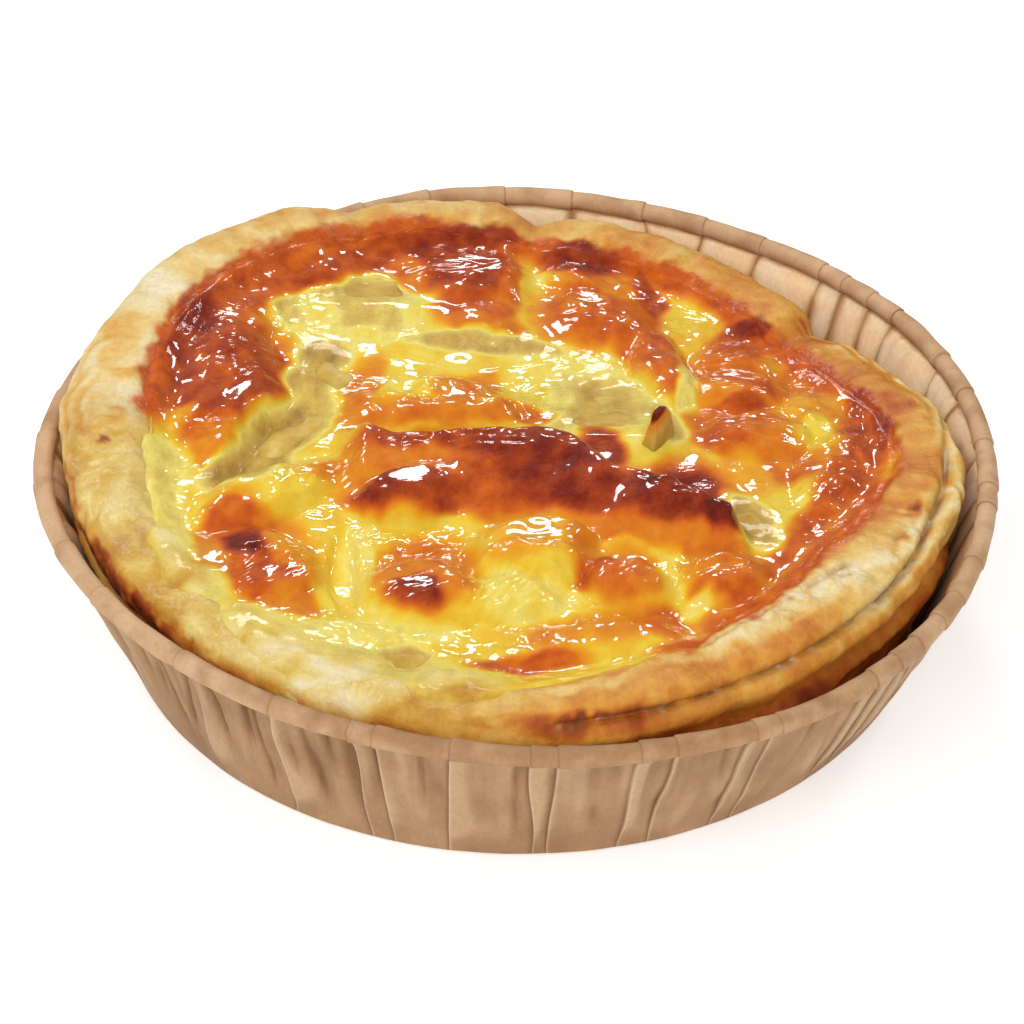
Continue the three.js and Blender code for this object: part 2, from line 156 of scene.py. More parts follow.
# Patches on the rim: direction, way over the section (0 at the cup's edge, 0.5 on the crest, 1 at the
# widest point), half widths of both, bake
TORN_PATCH = (-176, 0.48, 6, 0.1)  # without a bake of its own
CRUST_PATCHES = [
    (120, 0.06, 45, 0.12, 0.5), (8, 0.06, 40, 0.14, 0.64), (-66, 0.12, 16, 0.1, 0.46),
    (165, 0.1, 16, 0.12, 0.42), (-6, 0.8, 36, 0.15, 0.15), (-166, 0.98, 8, 0.2, 0.5),
    (-143, 0.86, 20, 0.1, 0.52), (-150, 0.97, 13, 0.15, 0.72), (-150, 1.08, 14, 0.16, 0.86),
    (-131, 0.95, 9, 0.14, 0.56), (-122, 0.92, 8, 0.12, 0.4), (-178, 0.45, 4, 0.07, 0.26),
    (-174.5, 0.52, 1.0, 0.04, 0.8), (-93, 0.76, 8, 0.09, 0.56), (-82, 0.84, 9, 0.14, 0.74),
    (-76, 1.25, 8, 0.2, 0.8), (-70, 0.58, 11, 0.13, 0.4), (-80, 0.42, 9, 0.08, 0.16),
    (-64, 0.36, 10, 0.09, 0.2), (-60.5, 0.15, 1.0, 0.15, 0.5), (-45, 0.42, 18, 0.12, 0.1),
    (-50, 1.15, 28, 0.24, 0.42), (-28, 0.2, 12, 0.2, 0.42), (-12, 0.3, 14, 0.32, 0.5),
    (-18, 0.54, 2.0, 0.05, 0.7), (-24, 0.62, 0.5, 0.02, 1.0), (18, 0.35, 14, 0.25, 0.48),
    (9, 0.45, 3, 0.12, 0.62), (37, 0.12, 3, 0.28, 0.8), (48, 0.3, 8, 0.3, 0.46), (62, 0.2, 4, 0.2, 0.34),
    (72, 0.3, 7, 0.3, 0.42), (96, 0.3, 4, 0.3, 0.24), (113, 0.28, 7, 0.14, 0.46),
    (102, 0.18, 5, 0.12, 0.42), (130, 0.14, 10, 0.16, 0.36), (155, 0.2, 6, 0.14, 0.32),
    (171, 0.3, 1.4, 0.2, 0.34),
]
PASTRY_COLOURS = [
    (-0.1, "f1e0b8"), (0.05, "ebd090"), (0.2, "e5bb66"), (0.35, "dc9e42"), (0.5, "d0822e"), (0.65, "b86020"),
    (0.8, "8b3b18"), (0.92, "5a2110"), (1.0, "36120a"),
]
SOAKED_COLOURS = [(-0.15, "eadab0"), (-0.02, "e4cb7c"), (0.12, "d6ae4e"), (0.25, "be8a36"), (0.4, "985a20")]

# How far the filling's skin is baked, from -0.3 for bare wet pits, over 0 for pale custard, to 1 for
# nearly black. Each patch is an oval laid over those before it: x, y, half length, half width, turn, bake.
BAKE_LEVEL = 0.15
# The skin is browned along the rim: bake, width, and the first and last direction with their fade
BORDER_BAKE = 0.6
BORDER_WIDTH = 3.0
BORDER_RUN = (-64, 174, 10)
BAKE_PATCHES = [
    # broad grounds
    (32, 10, 12, 20, 8, 0.38), (22, 31, 5, 7, -20, 0.2), (-23, 28, 11, 8, 15, -0.07),
    (7, 16, 7, 5, 0, 0.06),
    # melted cheese between the pale pieces at the back left
    (-26.5, 25, 3.5, 4, 0, 0.06), (-14, 27, 2.2, 4.5, 8, 0.05), (-22, 21.5, 6, 1.6, 0, 0.05),
    (-19.5, 31, 4, 4, 0, -0.07), (-31.5, 27, 3, 4.5, 0, -0.08), (-24, 29.5, 1.2, 3, 15, -0.12),
    (-17, 24.5, 1.6, 2.4, 20, -0.05),
    # left shield
    (-38, 11, 15, 9, 88, 0.64), (-37, 25, 8, 4, 62, 0.64), (-40, 12, 10, 5.5, 88, 0.69),
    (-41.5, 21, 4, 2.6, 75, 0.78), (-43, 13, 6, 2.2, 90, 0.74), (-33, 12, 7, 3.2, 70, 0.64),
    (-34, 6, 6, 2.4, 52, 0.68), (-38.5, -1, 5, 2.6, 15, 0.5), (-43.5, 1.5, 3.5, 2.4, 20, 0.3),
    (-38, -3, 2, 3, -20, 0.42), (-46.5, 9, 2.4, 9, 0, 0.62),
    # browned strip behind it, along the rim
    (-31, 31, 6, 2.6, 38, 0.58), (-25, 34.5, 6, 2.6, 34, 0.62), (-18, 39, 6, 2.8, 18, 0.66),
    (-27, 33, 3, 1.4, 35, 0.66),
    # back shield
    (-8, 38, 9, 7, 4, 0.68), (-5, 43.5, 7, 2.6, 12, 0.76), (-12, 41, 5, 2, 8, 0.72),
    (-8, 33.5, 7, 4, 0, 0.71), (-6, 27, 5.5, 4.5, 0, 0.6), (-4, 24, 5, 1.6, 0, 0.5),
    (-15, 35.5, 2, 4, 20, 0.5), (-1, 31, 2, 5, -14, 0.5), (1.8, 34, 1.5, 10, 0, 0.1),
    # second back shield and its tongue
    (9.5, 29, 8, 8, -10, 0.54), (8, 40, 4.5, 6, 80, 0.78), (10, 25, 6.5, 3, -20, 0.6),
    (6, 28, 3, 5, 15, 0.56), (13, 33.5, 2.4, 2.4, 0, 0.4), (16.8, 33.5, 7, 2, -75, 0.69),
    (16.8, 20, 9.5, 4, -75, 0.57), (18.5, 14, 4, 2, -80, 0.56),
    # right of the tongue
    (22, 31, 3, 7, -25, 0.14), (25.5, 33, 3, 1.5, 35, 0.3), (22.5, 25, 2, 4, -20, 0.2),
    (28, 23, 5, 3.5, 65, 0.6), (31.5, 28, 5.5, 2, 22, 0.78), (35, 29.5, 3, 1.2, 25, 0.82),
    (33.5, 22, 2.2, 4.5, -10, 0.3), (27, 15.5, 6, 5, 0, 0.52), (29.5, 12.5, 4, 2, -15, 0.56),
    (36, 15.5, 3, 6, -20, 0.46), (21.3, 8, 1.3, 9, 4, 0.0), (26.5, 4, 5.5, 6, 90, 0.54),
    (24, 1, 3, 3, 0, 0.6), (27, 8.5, 4, 1.4, 10, 0.62), (37, 3, 2.6, 4.5, 0, 0.14),
    (34.5, 9, 2.5, 2.5, 0, 0.3), (33, -4, 4, 4, 0, 0.5), (28, -6, 3, 4, 20, 0.3),
    (32.5, -14, 2.6, 6, -12, 0.12),
    # browned border on the right
    (39, 16.5, 5, 2, -55, 0.66), (43, 9.5, 4.5, 2.4, -68, 0.7), (43.3, 2, 7, 3.2, 86, 0.66),
    (45.5, 4, 5, 1.5, 85, 0.76), (40, -7, 8, 3.2, 68, 0.64), (36, -14.5, 7, 2.4, 60, 0.6),
    (31.5, -22.5, 6.5, 1.8, 56, 0.58), (26, -31, 5, 1.7, 56, 0.52), (23, -34, 3, 2.4, 45, 0.42),
    # disc and shelf
    (10, 7, 6.5, 8, 0, -0.12), (4.5, 9, 1.6, 6, 0, -0.02), (18.5, 4, 2.2, 5, 10, -0.12),
    (13.5, 0, 2.5, 2.5, 0, 0.1), (-20, 10, 3, 8, -8, 0.45), (-15.5, 10.5, 2.4, 6, 0, 0.1),
    (-8, 9.5, 3, 8, 0, 0.46), (-4.5, 11, 2, 6, 0, 0.44), (-8, 16.5, 5, 2, 0, 0.12),
    (-12.5, 18, 1.5, 2.5, 0, 0.1), (0, 10, 2.2, 7, 0, 0.1), (1, 19, 3.5, 2.4, 0, 0.06),
    (-12, 4, 9, 2, -6, 0.46), (0, 4.5, 5, 1.8, 12, 0.5),
    # dark ridge and its front slope
    (-5, -8, 16, 7.5, 0, 0.54), (-14, -2.5, 7, 3.5, 0, 0.68), (-16, -11.8, 5.5, 2.6, 3, 0.78),
    (-11, -12, 5, 2.2, 5, 0.7), (-11.5, -7, 4, 2.2, 5, 0.48), (-3, -4, 7, 3.2, 0, 0.72),
    (-2, -10.5, 6, 4, 0, 0.62), (2.5, -7, 7, 5.5, -10, 0.76), (7, -10.5, 6, 5, -45, 0.8),
    (10, -3, 2.8, 6, 10, 0.74), (13, -18, 7, 2.2, -8, 0.46), (13, -13.5, 6.5, 3, -25, 0.74),
    (20, -11, 6.5, 7, 0, 0.79), (21, -20.5, 5, 1.8, -12, 0.5), (20, -15.5, 6, 2.6, -22, 0.8),
    (24.7, -17.5, 3, 2.8, 0, 0.88), (11, -20, 4, 1.2, -8, 0.2),
    # in front of the ridge
    (-9, -16.5, 5, 1.8, 0, 0.12), (-11.5, -25.5, 6.5, 7.5, 0, 0.48), (-12, -21, 4, 1.6, 10, 0.5),
    (-11.8, -31, 4, 2.4, 5, 0.77), (-7, -30, 2.5, 3, 20, 0.46), (-19.5, -24, 2.2, 8, 4, 0.06),
    (2, -19, 7, 4.5, 0, 0.3), (0, -23.5, 5, 1.8, 0, 0.3), (7.5, -20.5, 2, 4.5, -20, 0.44),
    (-2.5, -28, 3.5, 2.5, 0, 0.07), (1, -31.5, 7, 3, 5, 0.08), (12, -26, 5, 5, 0, 0.52),
    (9, -27, 2.4, 3, -15, 0.6), (13, -29.5, 4, 1.6, 10, 0.5), (18, -26, 1.8, 5, 0, 0.1),
    (24.5, -25.5, 5, 5.2, 10, 0.5), (24, -29, 4, 1.5, 5, 0.55), (9.5, -36, 11, 3.4, 12, 0.42),
    (16.5, -34.5, 3.4, 3.4, 20, 0.54), (-3, -37.5, 4, 2.2, 10, 0.2), (0.5, -42.3, 7, 1.8, 5, 0.58),
    (21, -32, 1.6, 3, -30, 0.1),
    # front left lump, arm and furrow
    (-31.5, -22, 7, 9, 18, 0.5), (-33, -20.5, 2.8, 6, 8, 0.8), (-35, -17, 3, 2.4, 20, 0.62),
    (-30, -28, 6, 3, -32, 0.6), (-27.5, -21, 2.6, 4.5, 5, 0.34), (-26.5, -31.5, 3.5, 2.5, 0, 0.46),
    (-33, -15, 4.5, 1.4, -8, 0.52), (-22.5, -7.5, 4, 4, 40, 0.42), (-27, -12, 5, 2.2, 25, 0.14),
    # pale border at the front left
    (-44.5, -9, 4, 9, 0, 0.0), (-41.5, -21, 2.6, 7, 8, 0.02), (-38, -29.5, 4.5, 3, -45, 0.03),
    (-30, -35, 8, 2.4, -22, 0.04), (-16, -36.3, 9, 2.4, -2, 0.03), (-20, -43, 15, 4, -10, -0.02),
    # soaked rim at the front left
    (-50, -14, 5, 8, -10, 0.05), (-49, -24.5, 3.5, 6, 20, 0.2), (-44, -32, 4, 7, 40, 0.18),
    (-41, -38, 2.6, 6, 45, 0.32), (-31, -47.5, 5, 2.5, -30, 0.24), (-21.5, -48.5, 6, 3, -20, -0.1),
    (-12.5, -52, 5, 2, -12, 0.2), (-36, -36, 4, 3, -45, 0.06),
    # pits, darker where deep: the wet potato's own colour with painted shade in the hollows
    (-29.5, 2, 9, 4, 56, -0.18), (-34, -6.5, 6, 4, 30, -0.18), (-27, 12, 3, 3.5, 0, -0.14),
    (-25, 17.5, 3, 3.4, 80, -0.2), (-5, 20.8, 10.5, 2, 0, -0.14), (28, -15.5, 6, 2.4, -66, -0.17),
    (-13.5, -39.8, 3.2, 1.5, 0, -0.16),
]
BAKE_COLOURS = [
    (-0.3, "80602a"), (-0.15, "c8a450"), (-0.06, "d8bc60"), (0.04, "eedc72"), (0.14, "eecb3e"),
    (0.3, "eaa220"), (0.44, "df8420"), (0.57, "d0621c"), (0.69, "aa441a"), (0.8, "862a16"), (0.9, "5e1a10"),
    (1.0, "36110b"),
]


# Noise and smooth steps
GRADIENTS = np.random.default_rng(7).normal(size=(256, 3))
GRADIENTS /= np.linalg.norm(GRADIENTS, axis=1, keepdims=True)
SHUFFLE = np.random.default_rng(11).permutation(256)


def noise(points, size, seed=0):
    """Gradient noise from about -1 to 1 at points of shape (..., 3), with bumps of about the given size."""
    place = points / size + 31.7 * seed + 5.3
    cell = np.floor(place).astype(int)
    inside = place - cell
    ease = inside**3 * (inside * (inside * 6 - 15) + 10)
    total = np.zeros(place.shape[:-1])
    for corner in itertools.product((0, 1), repeat=3):
        at = (cell + corner) & 255
        pick = SHUFFLE[(SHUFFLE[(SHUFFLE[at[..., 0]] + at[..., 1]) & 255] + at[..., 2]) & 255]
        weight = np.prod(np.where(corner, ease, 1 - ease), axis=-1)
        total += weight * np.einsum("...k,...k->...", GRADIENTS[pick], inside - corner)
    return 1.5 * total


def noises(points, *layers):
    """Sum of noises, each given by its strength, size and seed."""
    return sum(strength * noise(points, size, seed) for strength, size, seed in layers)


def layered_noise(points, size, layers, seed=0):
    """Noise with finer and weaker layers added."""
    return sum(noise(points, size / 2**k, seed + k) / 2**k for k in range(layers))


def smoothstep(low, high, value):
    share = np.clip((value - low) / (high - low), 0, 1)
    return share * share * (3 - 2 * share)


def lerp(a, b, share):
    return a + (b - a) * share


def soft_max(a, b, blend):
    """The larger of two heights, rounded where they meet."""
    share = np.clip(0.5 + 0.5 * (a - b) / blend, 0, 1)
    return lerp(b, a, share) + blend * share * (1 - share)


def bell(gap):
    return np.exp(-(gap**2))


def flat_points(x, y, z=0.0):
    return np.stack([x, y, np.broadcast_to(z, x.shape)], axis=-1)


def around(values, angle):
    """Reads values set evenly round the circle, on one smooth closed curve."""
    values = np.asarray(values, float)
    count = len(values)
    place = (angle % (2 * np.pi)) / (2 * np.pi) * count
    index = np.floor(place).astype(int)
    f = place - index
    before, here, after, later = (values[(index + k) % count] for k in (-1, 0, 1, 2))
    slope_here, slope_after = (after - before) / 2, (later - here) / 2
    return (
        (2 * f**3 - 3 * f**2 + 1) * here
        + (f**3 - 2 * f**2 + f) * slope_here
        + (3 * f**2 - 2 * f**3) * after
        + (f**3 - f**2) * slope_after
    )


def angle_gap(angle, degrees):
    """Signed way round from a direction, in radians."""
    return (angle - np.radians(degrees) + np.pi) % (2 * np.pi) - np.pi


# Outlines shared with the solids
def rim_stray(angle):
    return sum(reach * np.cos(count * (angle - np.radians(turn))) for count, reach, turn in RIM_WAVES)


def wall_radius(angle, height):
    share = height / CASE_RIM_HEIGHT
    return lerp(CASE_BASE_RADIUS, CASE_RIM_RADIUS - RIM_ROLL_OUTSIDE, share) + share * rim_stray(angle)


def fold_drop(angle):
    return sum(drop * bell(angle_gap(angle, at) / np.radians(width)) for at, width, drop in CRUST_FOLDS)


def rim_span(angle):
    """Radius of the cup's edge, and the middle and half width of the rim."""
    edge = around(CRUST_EDGE, angle)
    outer = around(CRUST_OUTER, angle) - fold_drop(angle)
    return edge, (outer + edge) / 2, (outer - edge) / 2


def crest_height(angle):
    return around(CRUST_CREST, angle) - fold_drop(angle)


def along_across(x, y, at_x, at_y, turn):
    """Ways from a place along a direction and across it."""
    c, s = math.cos(math.radians(turn)), math.sin(math.radians(turn))
    return (x - at_x) * c + (y - at_y) * s, (y - at_y) * c - (x - at_x) * s


def oval_distance(patch, x, y):
    """Squared distance from the middle of a turned oval: 1 on its outline."""
    at_x, at_y, long, wide, turn = patch[:5]
    along, across = along_across(x, y, at_x, at_y, turn)
    return (along / long) ** 2 + (across / wide) ** 2


def dome(rise, share):
    """A round-topped rise that ends level where the squared share of its reach is 1."""
    return rise * np.maximum(0, 1 - share) ** 1.5


def swell(lump, x, y):
    """A lump with a flat top and rounded sides."""
    return lump[5] * smoothstep(1, 0.0, oval_distance(lump, x, y)) ** 0.85


def ridge_lift(x, y):
    at_x, at_y, rise, front = np.array(RIDGE, float).T
    behind = y - np.interp(x, at_x, at_y)
    reach = np.where(behind > 0, RIDGE_BACK, np.interp(x, at_x, front))
    return dome(np.interp(x, at_x, rise), (behind / reach) ** 2)


def pit_depth(hollow, x, y):
    """A hollow with a flat floor and rounded sides."""
    return hollow[5] * smoothstep(1, 0.15, oval_distance(hollow, x, y))


def skin_height(x, y):
    angle = np.arctan2(y, x)
    share = np.minimum(np.hypot(x, y) / around(CRUST_EDGE, angle), 1)
    level = lerp(FILL_MIDDLE_HEIGHT, crest_height(angle) - FILL_BELOW_CREST, share**3)
    rises = [ridge_lift(x, y)] + [swell(lump, x, y) for lump in LUMPS]
    lift = np.cbrt(sum(rise**3 for rise in rises))
    sink = np.max([pit_depth(hollow, x, y) for hollow in HOLLOWS], axis=0)
    return level + (1 - share**10) * (lift - sink)


# Colour
def linear(hexcode):
    """Linear red, green and blue of a screen colour such as 'd8a048'."""
    value = np.array([int(hexcode[i:i + 2], 16) for i in (0, 2, 4)]) / 255
    return np.where(value <= 0.04045, value / 12.92, ((value + 0.055) / 1.055) ** 2.4)


def ramp(share, stops):
    """Colours along a list of (place, screen colour)."""
    places = [place for place, _ in stops]
    colours = np.array([linear(code) for _, code in stops])
    return np.stack([np.interp(share, places, colours[:, k]) for k in range(3)], axis=-1)


def mix(a, b, share):
    return a + (b - a) * np.asarray(share)[..., None]


# Meshes
def make_piece(name, points, faces, slot, replaced, material, colour=None, **amounts):
    """A smooth mesh from points in millimetres, with its colour and other amounts kept per point."""
    mesh = bpy.data.meshes.new(name)
    mesh.from_pydata(((points.reshape(-1, 3) + MIDDLE_SHIFT) * MM).tolist(), [], faces.tolist())
    mesh.validate()
    mesh.shade_smooth()
    mesh.materials.append(material)
    if colour is not None:
        rgba = np.ones((len(mesh.vertices), 4), np.float32)
        rgba[:, :3] = np.clip(colour.reshape(-1, 3), 0, 1)
        mesh.color_attributes.new("tint", "FLOAT_COLOR", "POINT").data.foreach_set("color", rgba.ravel())
    for key, values in amounts.items():
        layer = mesh.attributes.new(key, "FLOAT", "POINT")
        layer.data.foreach_set("value", np.asarray(values, np.float32).ravel())
    piece = bpy.data.objects.new(name, mesh)
    bpy.context.scene.collection.objects.link(piece)
    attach(piece, "root")
    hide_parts(replaced)


def turned_triangles(columns, rows):
    """Triangles of a closed skin of columns round an axis, whose first and last rows are single points."""
    here = np.arange(columns)
    after = (here + 1) % columns
    ring_count = rows - 2
    triangles = []
    for row in range(ring_count - 1):
        low, high = row * columns, (row + 1) * columns
        triangles.append(np.stack([here + low, after + low, after + high], axis=1))
        triangles.append(np.stack([here + low, after + high, here + high], axis=1))
    start, end = ring_count * columns, ring_count * columns + 1
    last = (ring_count - 1) * columns
    triangles.append(np.stack([np.full(columns, start), after, here], axis=1))
    triangles.append(np.stack([np.full(columns, end), here + last, after + last], axis=1))
    return np.concatenate(triangles)


def in_mesh_order(values):
    """Values on columns and rows, in the order of a turned mesh's points: the rings, then both ends."""
    rings = values[:, 1:-1].swapaxes(0, 1).reshape(-1, *values.shape[2:])
    return np.concatenate([rings, values[:1, 0], values[:1, -1]])


def turned_mesh(radius, height, angle):
    """Points and triangles of a closed solid given as columns of section points that end on the axis."""
    points = np.stack([radius * np.cos(angle), radius * np.sin(angle), height], axis=-1)
    return in_mesh_order(points), turned_triangles(*radius.shape)


def surface_normals(points):
    """Outward directions on a grid of columns that closes on itself, and rows."""
    along = np.roll(points, -1, axis=0) - np.roll(points, 1, axis=0)
    down = np.gradient(points, axis=1)
    normal = np.cross(along, down)
    return normal / np.maximum(np.linalg.norm(normal, axis=-1, keepdims=True), 1e-9)


# Paper case
WALL_HEIGHTS = [0.25, 0.6, 1, 1.6, 2.4, *np.arange(3.3, 17), 17.2, 18, 18.7, 19.3, 19.8, 20.2]
RIM_TURNS = np.radians(np.linspace(-85, 255, 18))
RIM_INSET = 0.25  # the roll's middle, inwards from that of the solid
RIM_FLARE = 0.4
COLUMN_STEP = 0.4
CREASE_STEPS = [0, 0.1, 0.25]  # extra columns beside a crease, in millimetres from it
LAP_RUN = 4.0  # how far from its crease a lap lies flat again
FLUTE_SIZE = 3.2
# Depth of the flutes and gathers in the wall, round the rim every 30 degrees
FLUTES = [0.5, 0.4, 0.35, 0.35, 0.45, 0.6, 0.85, 1.0, 0.85, 0.7, 0.6, 0.55]
GATHER_SPACING = 2.4  # where they are deepest
DEEPEST_FOLD = -0.9
# Browning of the rolled rim, round it every 30 degrees
RIM_BROWNING = [0.1, 0.1, 0.2, 0.1, 0.1, 0.0, 0.0, 0.0, 0.35, 0.7, 0.5, 0.15]


class PaperCase:
    """Columns of points that follow the creases, so that every crease stays sharp."""

    def __init__(self):
        draw = np.random.default_rng(3)
        start = np.radians(np.array(CREASES, float))
        width = np.diff(start, append=start[0] + 2 * np.pi)
        count = len(start)
        room = np.minimum(1, np.minimum(width, np.roll(width, 1)) / np.radians(8))
        lean = np.radians(draw.uniform(-2.4, 2.4, count)) * room
        sway = np.radians(draw.uniform(-1, 1, count)) * room
        lap = draw.uniform(0.35, 0.85, count)
        number, share = [], []
        for panel in range(count):
            reach = width[panel] * CASE_RIM_RADIUS
            near = np.array(CREASE_STEPS) / reach
            even = np.arange(COLUMN_STEP, reach, COLUMN_STEP) / reach
            steps = np.unique(np.concatenate([near, even, 1 - near[1:]]).round(5))
            share.append(steps[steps < 1])
            number.append(np.full(len(share[-1]), panel))
        self.number = np.concatenate(number)
        self.share = np.concatenate(share)
        after = (self.number + 1) % count
        self.start, self.width = start[self.number], width[self.number]
        self.lean, self.next_lean = lean[self.number], lean[after]
        self.sway, self.next_sway = sway[self.number], sway[after]
        self.lap = lap[self.number]
        self.from_crease = self.share * self.width * CASE_RIM_RADIUS
        self.to_crease = (1 - self.share) * self.width * CASE_RIM_RADIUS
        self.nearest = np.minimum(self.from_crease, self.to_crease)
        self.folds = self.short_folds(width, draw)

    def short_folds(self, width, draw):
        """Gathers under the rim: their columns, place across, slant, lowest level, depth and half width."""
        folds = []
        for panel, reach in enumerate(width * CASE_RIM_RADIUS):
            columns = self.number == panel
            gathered = around(FLUTES, self.start[columns][:1])[0]
            for _ in range(int(gathered * reach / GATHER_SPACING)):
                depth = gathered * draw.uniform(-0.9, -0.4)
                folds.append((columns, draw.uniform(0.08, 0.92), draw.uniform(-0.2, 0.2),
                              draw.uniform(0.0, 0.65), depth, draw.uniform(0.35, 0.7)))
        return folds

    def direction(self, height):
        """Direction of each column: creases lean and sway below the rim."""
        low = 1 - height / CASE_RIM_HEIGHT
        wave = math.sin(2 * math.pi * low)
        first = self.start + self.lean * low + self.sway * wave
        last = self.start + self.width + self.next_lean * low + self.next_sway * wave
        return lerp(first, last, self.share)

    def relief(self, angle, height):
        """How far the folded paper stands out from its plain wall."""
        level = height / CASE_RIM_HEIGHT
        ring = CASE_RIM_RADIUS * np.stack([np.cos(angle), np.sin(angle)])
        spot = flat_points(*ring, 0.5 * height)
        upright = flat_points(*ring, 0.12 * height)
        loose = math.sin(math.pi * min(1, level)) ** 0.5
        bulge = noises(spot, (0.4, 8, 1), (0.22, 3.4, 2), (0.1, 1.5, 3))
        fluted = smoothstep(0.03, 0.4, level) * smoothstep(1.0, 0.9, level)
        flutes = around(FLUTES, angle) * fluted * noises(upright, (0.6, FLUTE_SIZE, 4), (0.24, 1.3, 5))
        lapped = smoothstep(0.02, 0.3, level) * self.lap * np.maximum(0, 1 - self.from_crease / LAP_RUN)
        relief = loose * bulge + flutes + lapped
        for columns, place, slant, low, depth, half in self.folds:
            strength = smoothstep(low, low + 0.35, level) * smoothstep(1.0, 0.93, level)
            gap = (self.share[columns] - place - slant * (1 - level)) * self.width[columns] * CASE_RIM_RADIUS
            relief[columns] += depth * strength * bell(gap / half)
        return np.maximum(relief, DEEPEST_FOLD)

    def wall(self, height, side):
        """Radius, height, direction and relief of the wall's outer (1) or inner (-1) face."""
        angle = self.direction(height)
        relief = self.relief(angle, height)
        flare = RIM_FLARE * smoothstep(0.85, 0.95, height / CASE_RIM_HEIGHT)
        radius = wall_radius(angle, height) + flare + relief + side * PAPER / 2
        return radius, np.full_like(angle, height), angle, relief

    def rim(self, turn):
        """A row of points round the rolled rim, with a small step and a groove at each crease."""
        angle = self.direction(CASE_RIM_HEIGHT)
        middle = CASE_RIM_RADIUS - RIM_INSET + rim_stray(angle)
        spot = flat_points(middle * np.cos(angle), middle * np.sin(angle))
        sleeve = 0.07 * bell(self.from_crease / 2.5) - 0.04 * bell(self.to_crease / 2.0)
        sleeve += 0.04 * noise(spot, 4, 8)
        roll = RIM_ROLL_RADIUS * (0.92 + sleeve * self.lap / 0.5) - 0.1 * bell(self.nearest / 0.12)
        lift = noises(spot, (0.3, 17, 9), (0.12, 6, 10))
        height = CASE_RIM_HEIGHT + lift + roll * math.sin(turn)
        return middle + roll * math.cos(turn), height, angle, np.zeros_like(angle)

    def flat(self, radius, height):
        angle = self.direction(0)
        return np.full_like(angle, radius), np.full_like(angle, height), angle, np.zeros_like(angle)


def paper_colour(case, spot, relief, inside, on_rim):
    """Kraft paper with painted light and shade: paler on the rim, inside and on raised folds, darker in fold
    hollows and under laps, with darker lines along the inner folds and low on the inner wall.
    """
    mottle = smoothstep(-0.7, 0.8, layered_noise(spot, 7, 3, 20))
    nearest, from_crease = case.nearest[:, None], case.from_crease[:, None]
    height = spot[..., 2]
    outside = (1 - inside) * (1 - on_rim)
    # Paper colour outside, on the rim and inside: the rim and inner wall are paler as painted light, and the
    # outer wall is darker as painted shade.
    colour = mix(linear("b08a64"), linear("a07a56"), mottle)
    colour = mix(colour, mix(linear("d6b088"), linear("c79e76"), mottle), on_rim)
    colour = mix(colour, mix(linear("ffe9c2"), linear("ffdcaa"), mottle), inside)
    # Painted shade in the hollows of the folds.
    shaded = smoothstep(0.05, -0.6, relief) * (1 - on_rim)
    relief_light_and_shade = smoothstep(0.1, 0.6, relief) * outside
    doubled = smoothstep(3.2, 2.4, from_crease + 0.6 * noise(spot, 3, 33)) * outside
    # Painted shadow under the edge of each lap.
    shadow_under_lap = bell(case.to_crease[:, None] / 0.45)
    # Painted shade and shadow on the outer wall, with a darker band where the paper lies double.
    painted_shade_and_darkening = np.clip(0.9 * shaded + 0.15 * doubled + 0.7 * shadow_under_lap, 0, 0.9)
    colour = mix(colour, linear("7c5432"), painted_shade_and_darkening * outside)
    # Raised folds painted paler: painted light.
    colour = mix(colour, linear("dab890"), 0.45 * relief_light_and_shade)
    line_width = np.maximum(0.25, 0.55 + 0.05 * (CASE_RIM_HEIGHT - height) + 0.5 * noise(spot, 3, 30))
    line = bell((nearest + 0.5 * noise(spot, 4, 98)) / line_width) * inside
    deep = smoothstep(17, 8, height + 3 * layered_noise(spot, 6, 2, 31)) * inside
    # Darker lines along the inner folds, darker low on the inner wall, and painted shade in the fold hollows.
    painted_shade_and_darkening = np.clip(0.85 * line + 0.4 * deep + 0.2 * shaded * inside, 0, 0.9)
    colour = mix(colour, linear("a46c2c"), painted_shade_and_darkening)
    angle = np.arctan2(spot[..., 1], spot[..., 0])
    browned = around(RIM_BROWNING, angle) + 0.4 * layered_noise(spot, 3, 2, 34)
    colour = mix(colour, linear("94683f"), np.clip(browned, 0, 0.7) * on_rim)
    colour = mix(colour, linear("8a6440"), 0.6 * bell(nearest / 0.08) * on_rim)
    # Painted highlight along the edge of each lap.
    return mix(colour, linear("f0d8b8"), 0.3 * bell(from_crease / 0.2) * outside)


def build_case():
    case = PaperCase()
    base_edge = CASE_BASE_RADIUS - CASE_CORNER
    rows = [case.flat(radius, 0) for radius in (0, 0.5 * CASE_BASE_RADIUS, base_edge)]
    rows += [case.wall(height, 1) for height in WALL_HEIGHTS]
    outside_rows = len(rows)
    rows += [case.rim(turn) for turn in RIM_TURNS]
    rim_rows = len(rows)
    rows += [case.wall(max(height, PAPER), -1) for height in reversed(WALL_HEIGHTS)]
    rows += [case.flat(radius, PAPER) for radius in (base_edge - PAPER, 0)]
    radius, height, angle, relief = (np.stack(column, axis=1) for column in zip(*rows))
    spot = np.stack([radius * np.cos(angle), radius * np.sin(angle), height], axis=-1)
    row = np.arange(radius.shape[1])
    inside = (row >= rim_rows) * np.ones_like(radius)
    on_rim = ((row >= outside_rows) & (row < rim_rows)) * np.ones_like(radius)
    colour = paper_colour(case, spot, relief, inside, on_rim)
    points, faces = turned_mesh(radius, height, angle)
    make_piece("case_paper", points, faces, "paper", "paper_case", paper_material(), in_mesh_order(colour))


# Pastry shell
CRUST_COLUMNS = 1000
ROWS_PER_SPAN = 6
ROLL_STEPS = 10
ROLL_START = -48.0  # degrees below the widest point at which the rolled rim leaves the layer under it
ROLL_SQUARENESS = 0.76  # 1 is an oval section
FIRST_ROLL_CONTROL = 7
WAY_PER_CONTROL = (180 - ROLL_START) / (ROLL_STEPS - 1) / 180


def blunt(value):
    return np.sign(value) * np.abs(value) ** ROLL_SQUARENESS


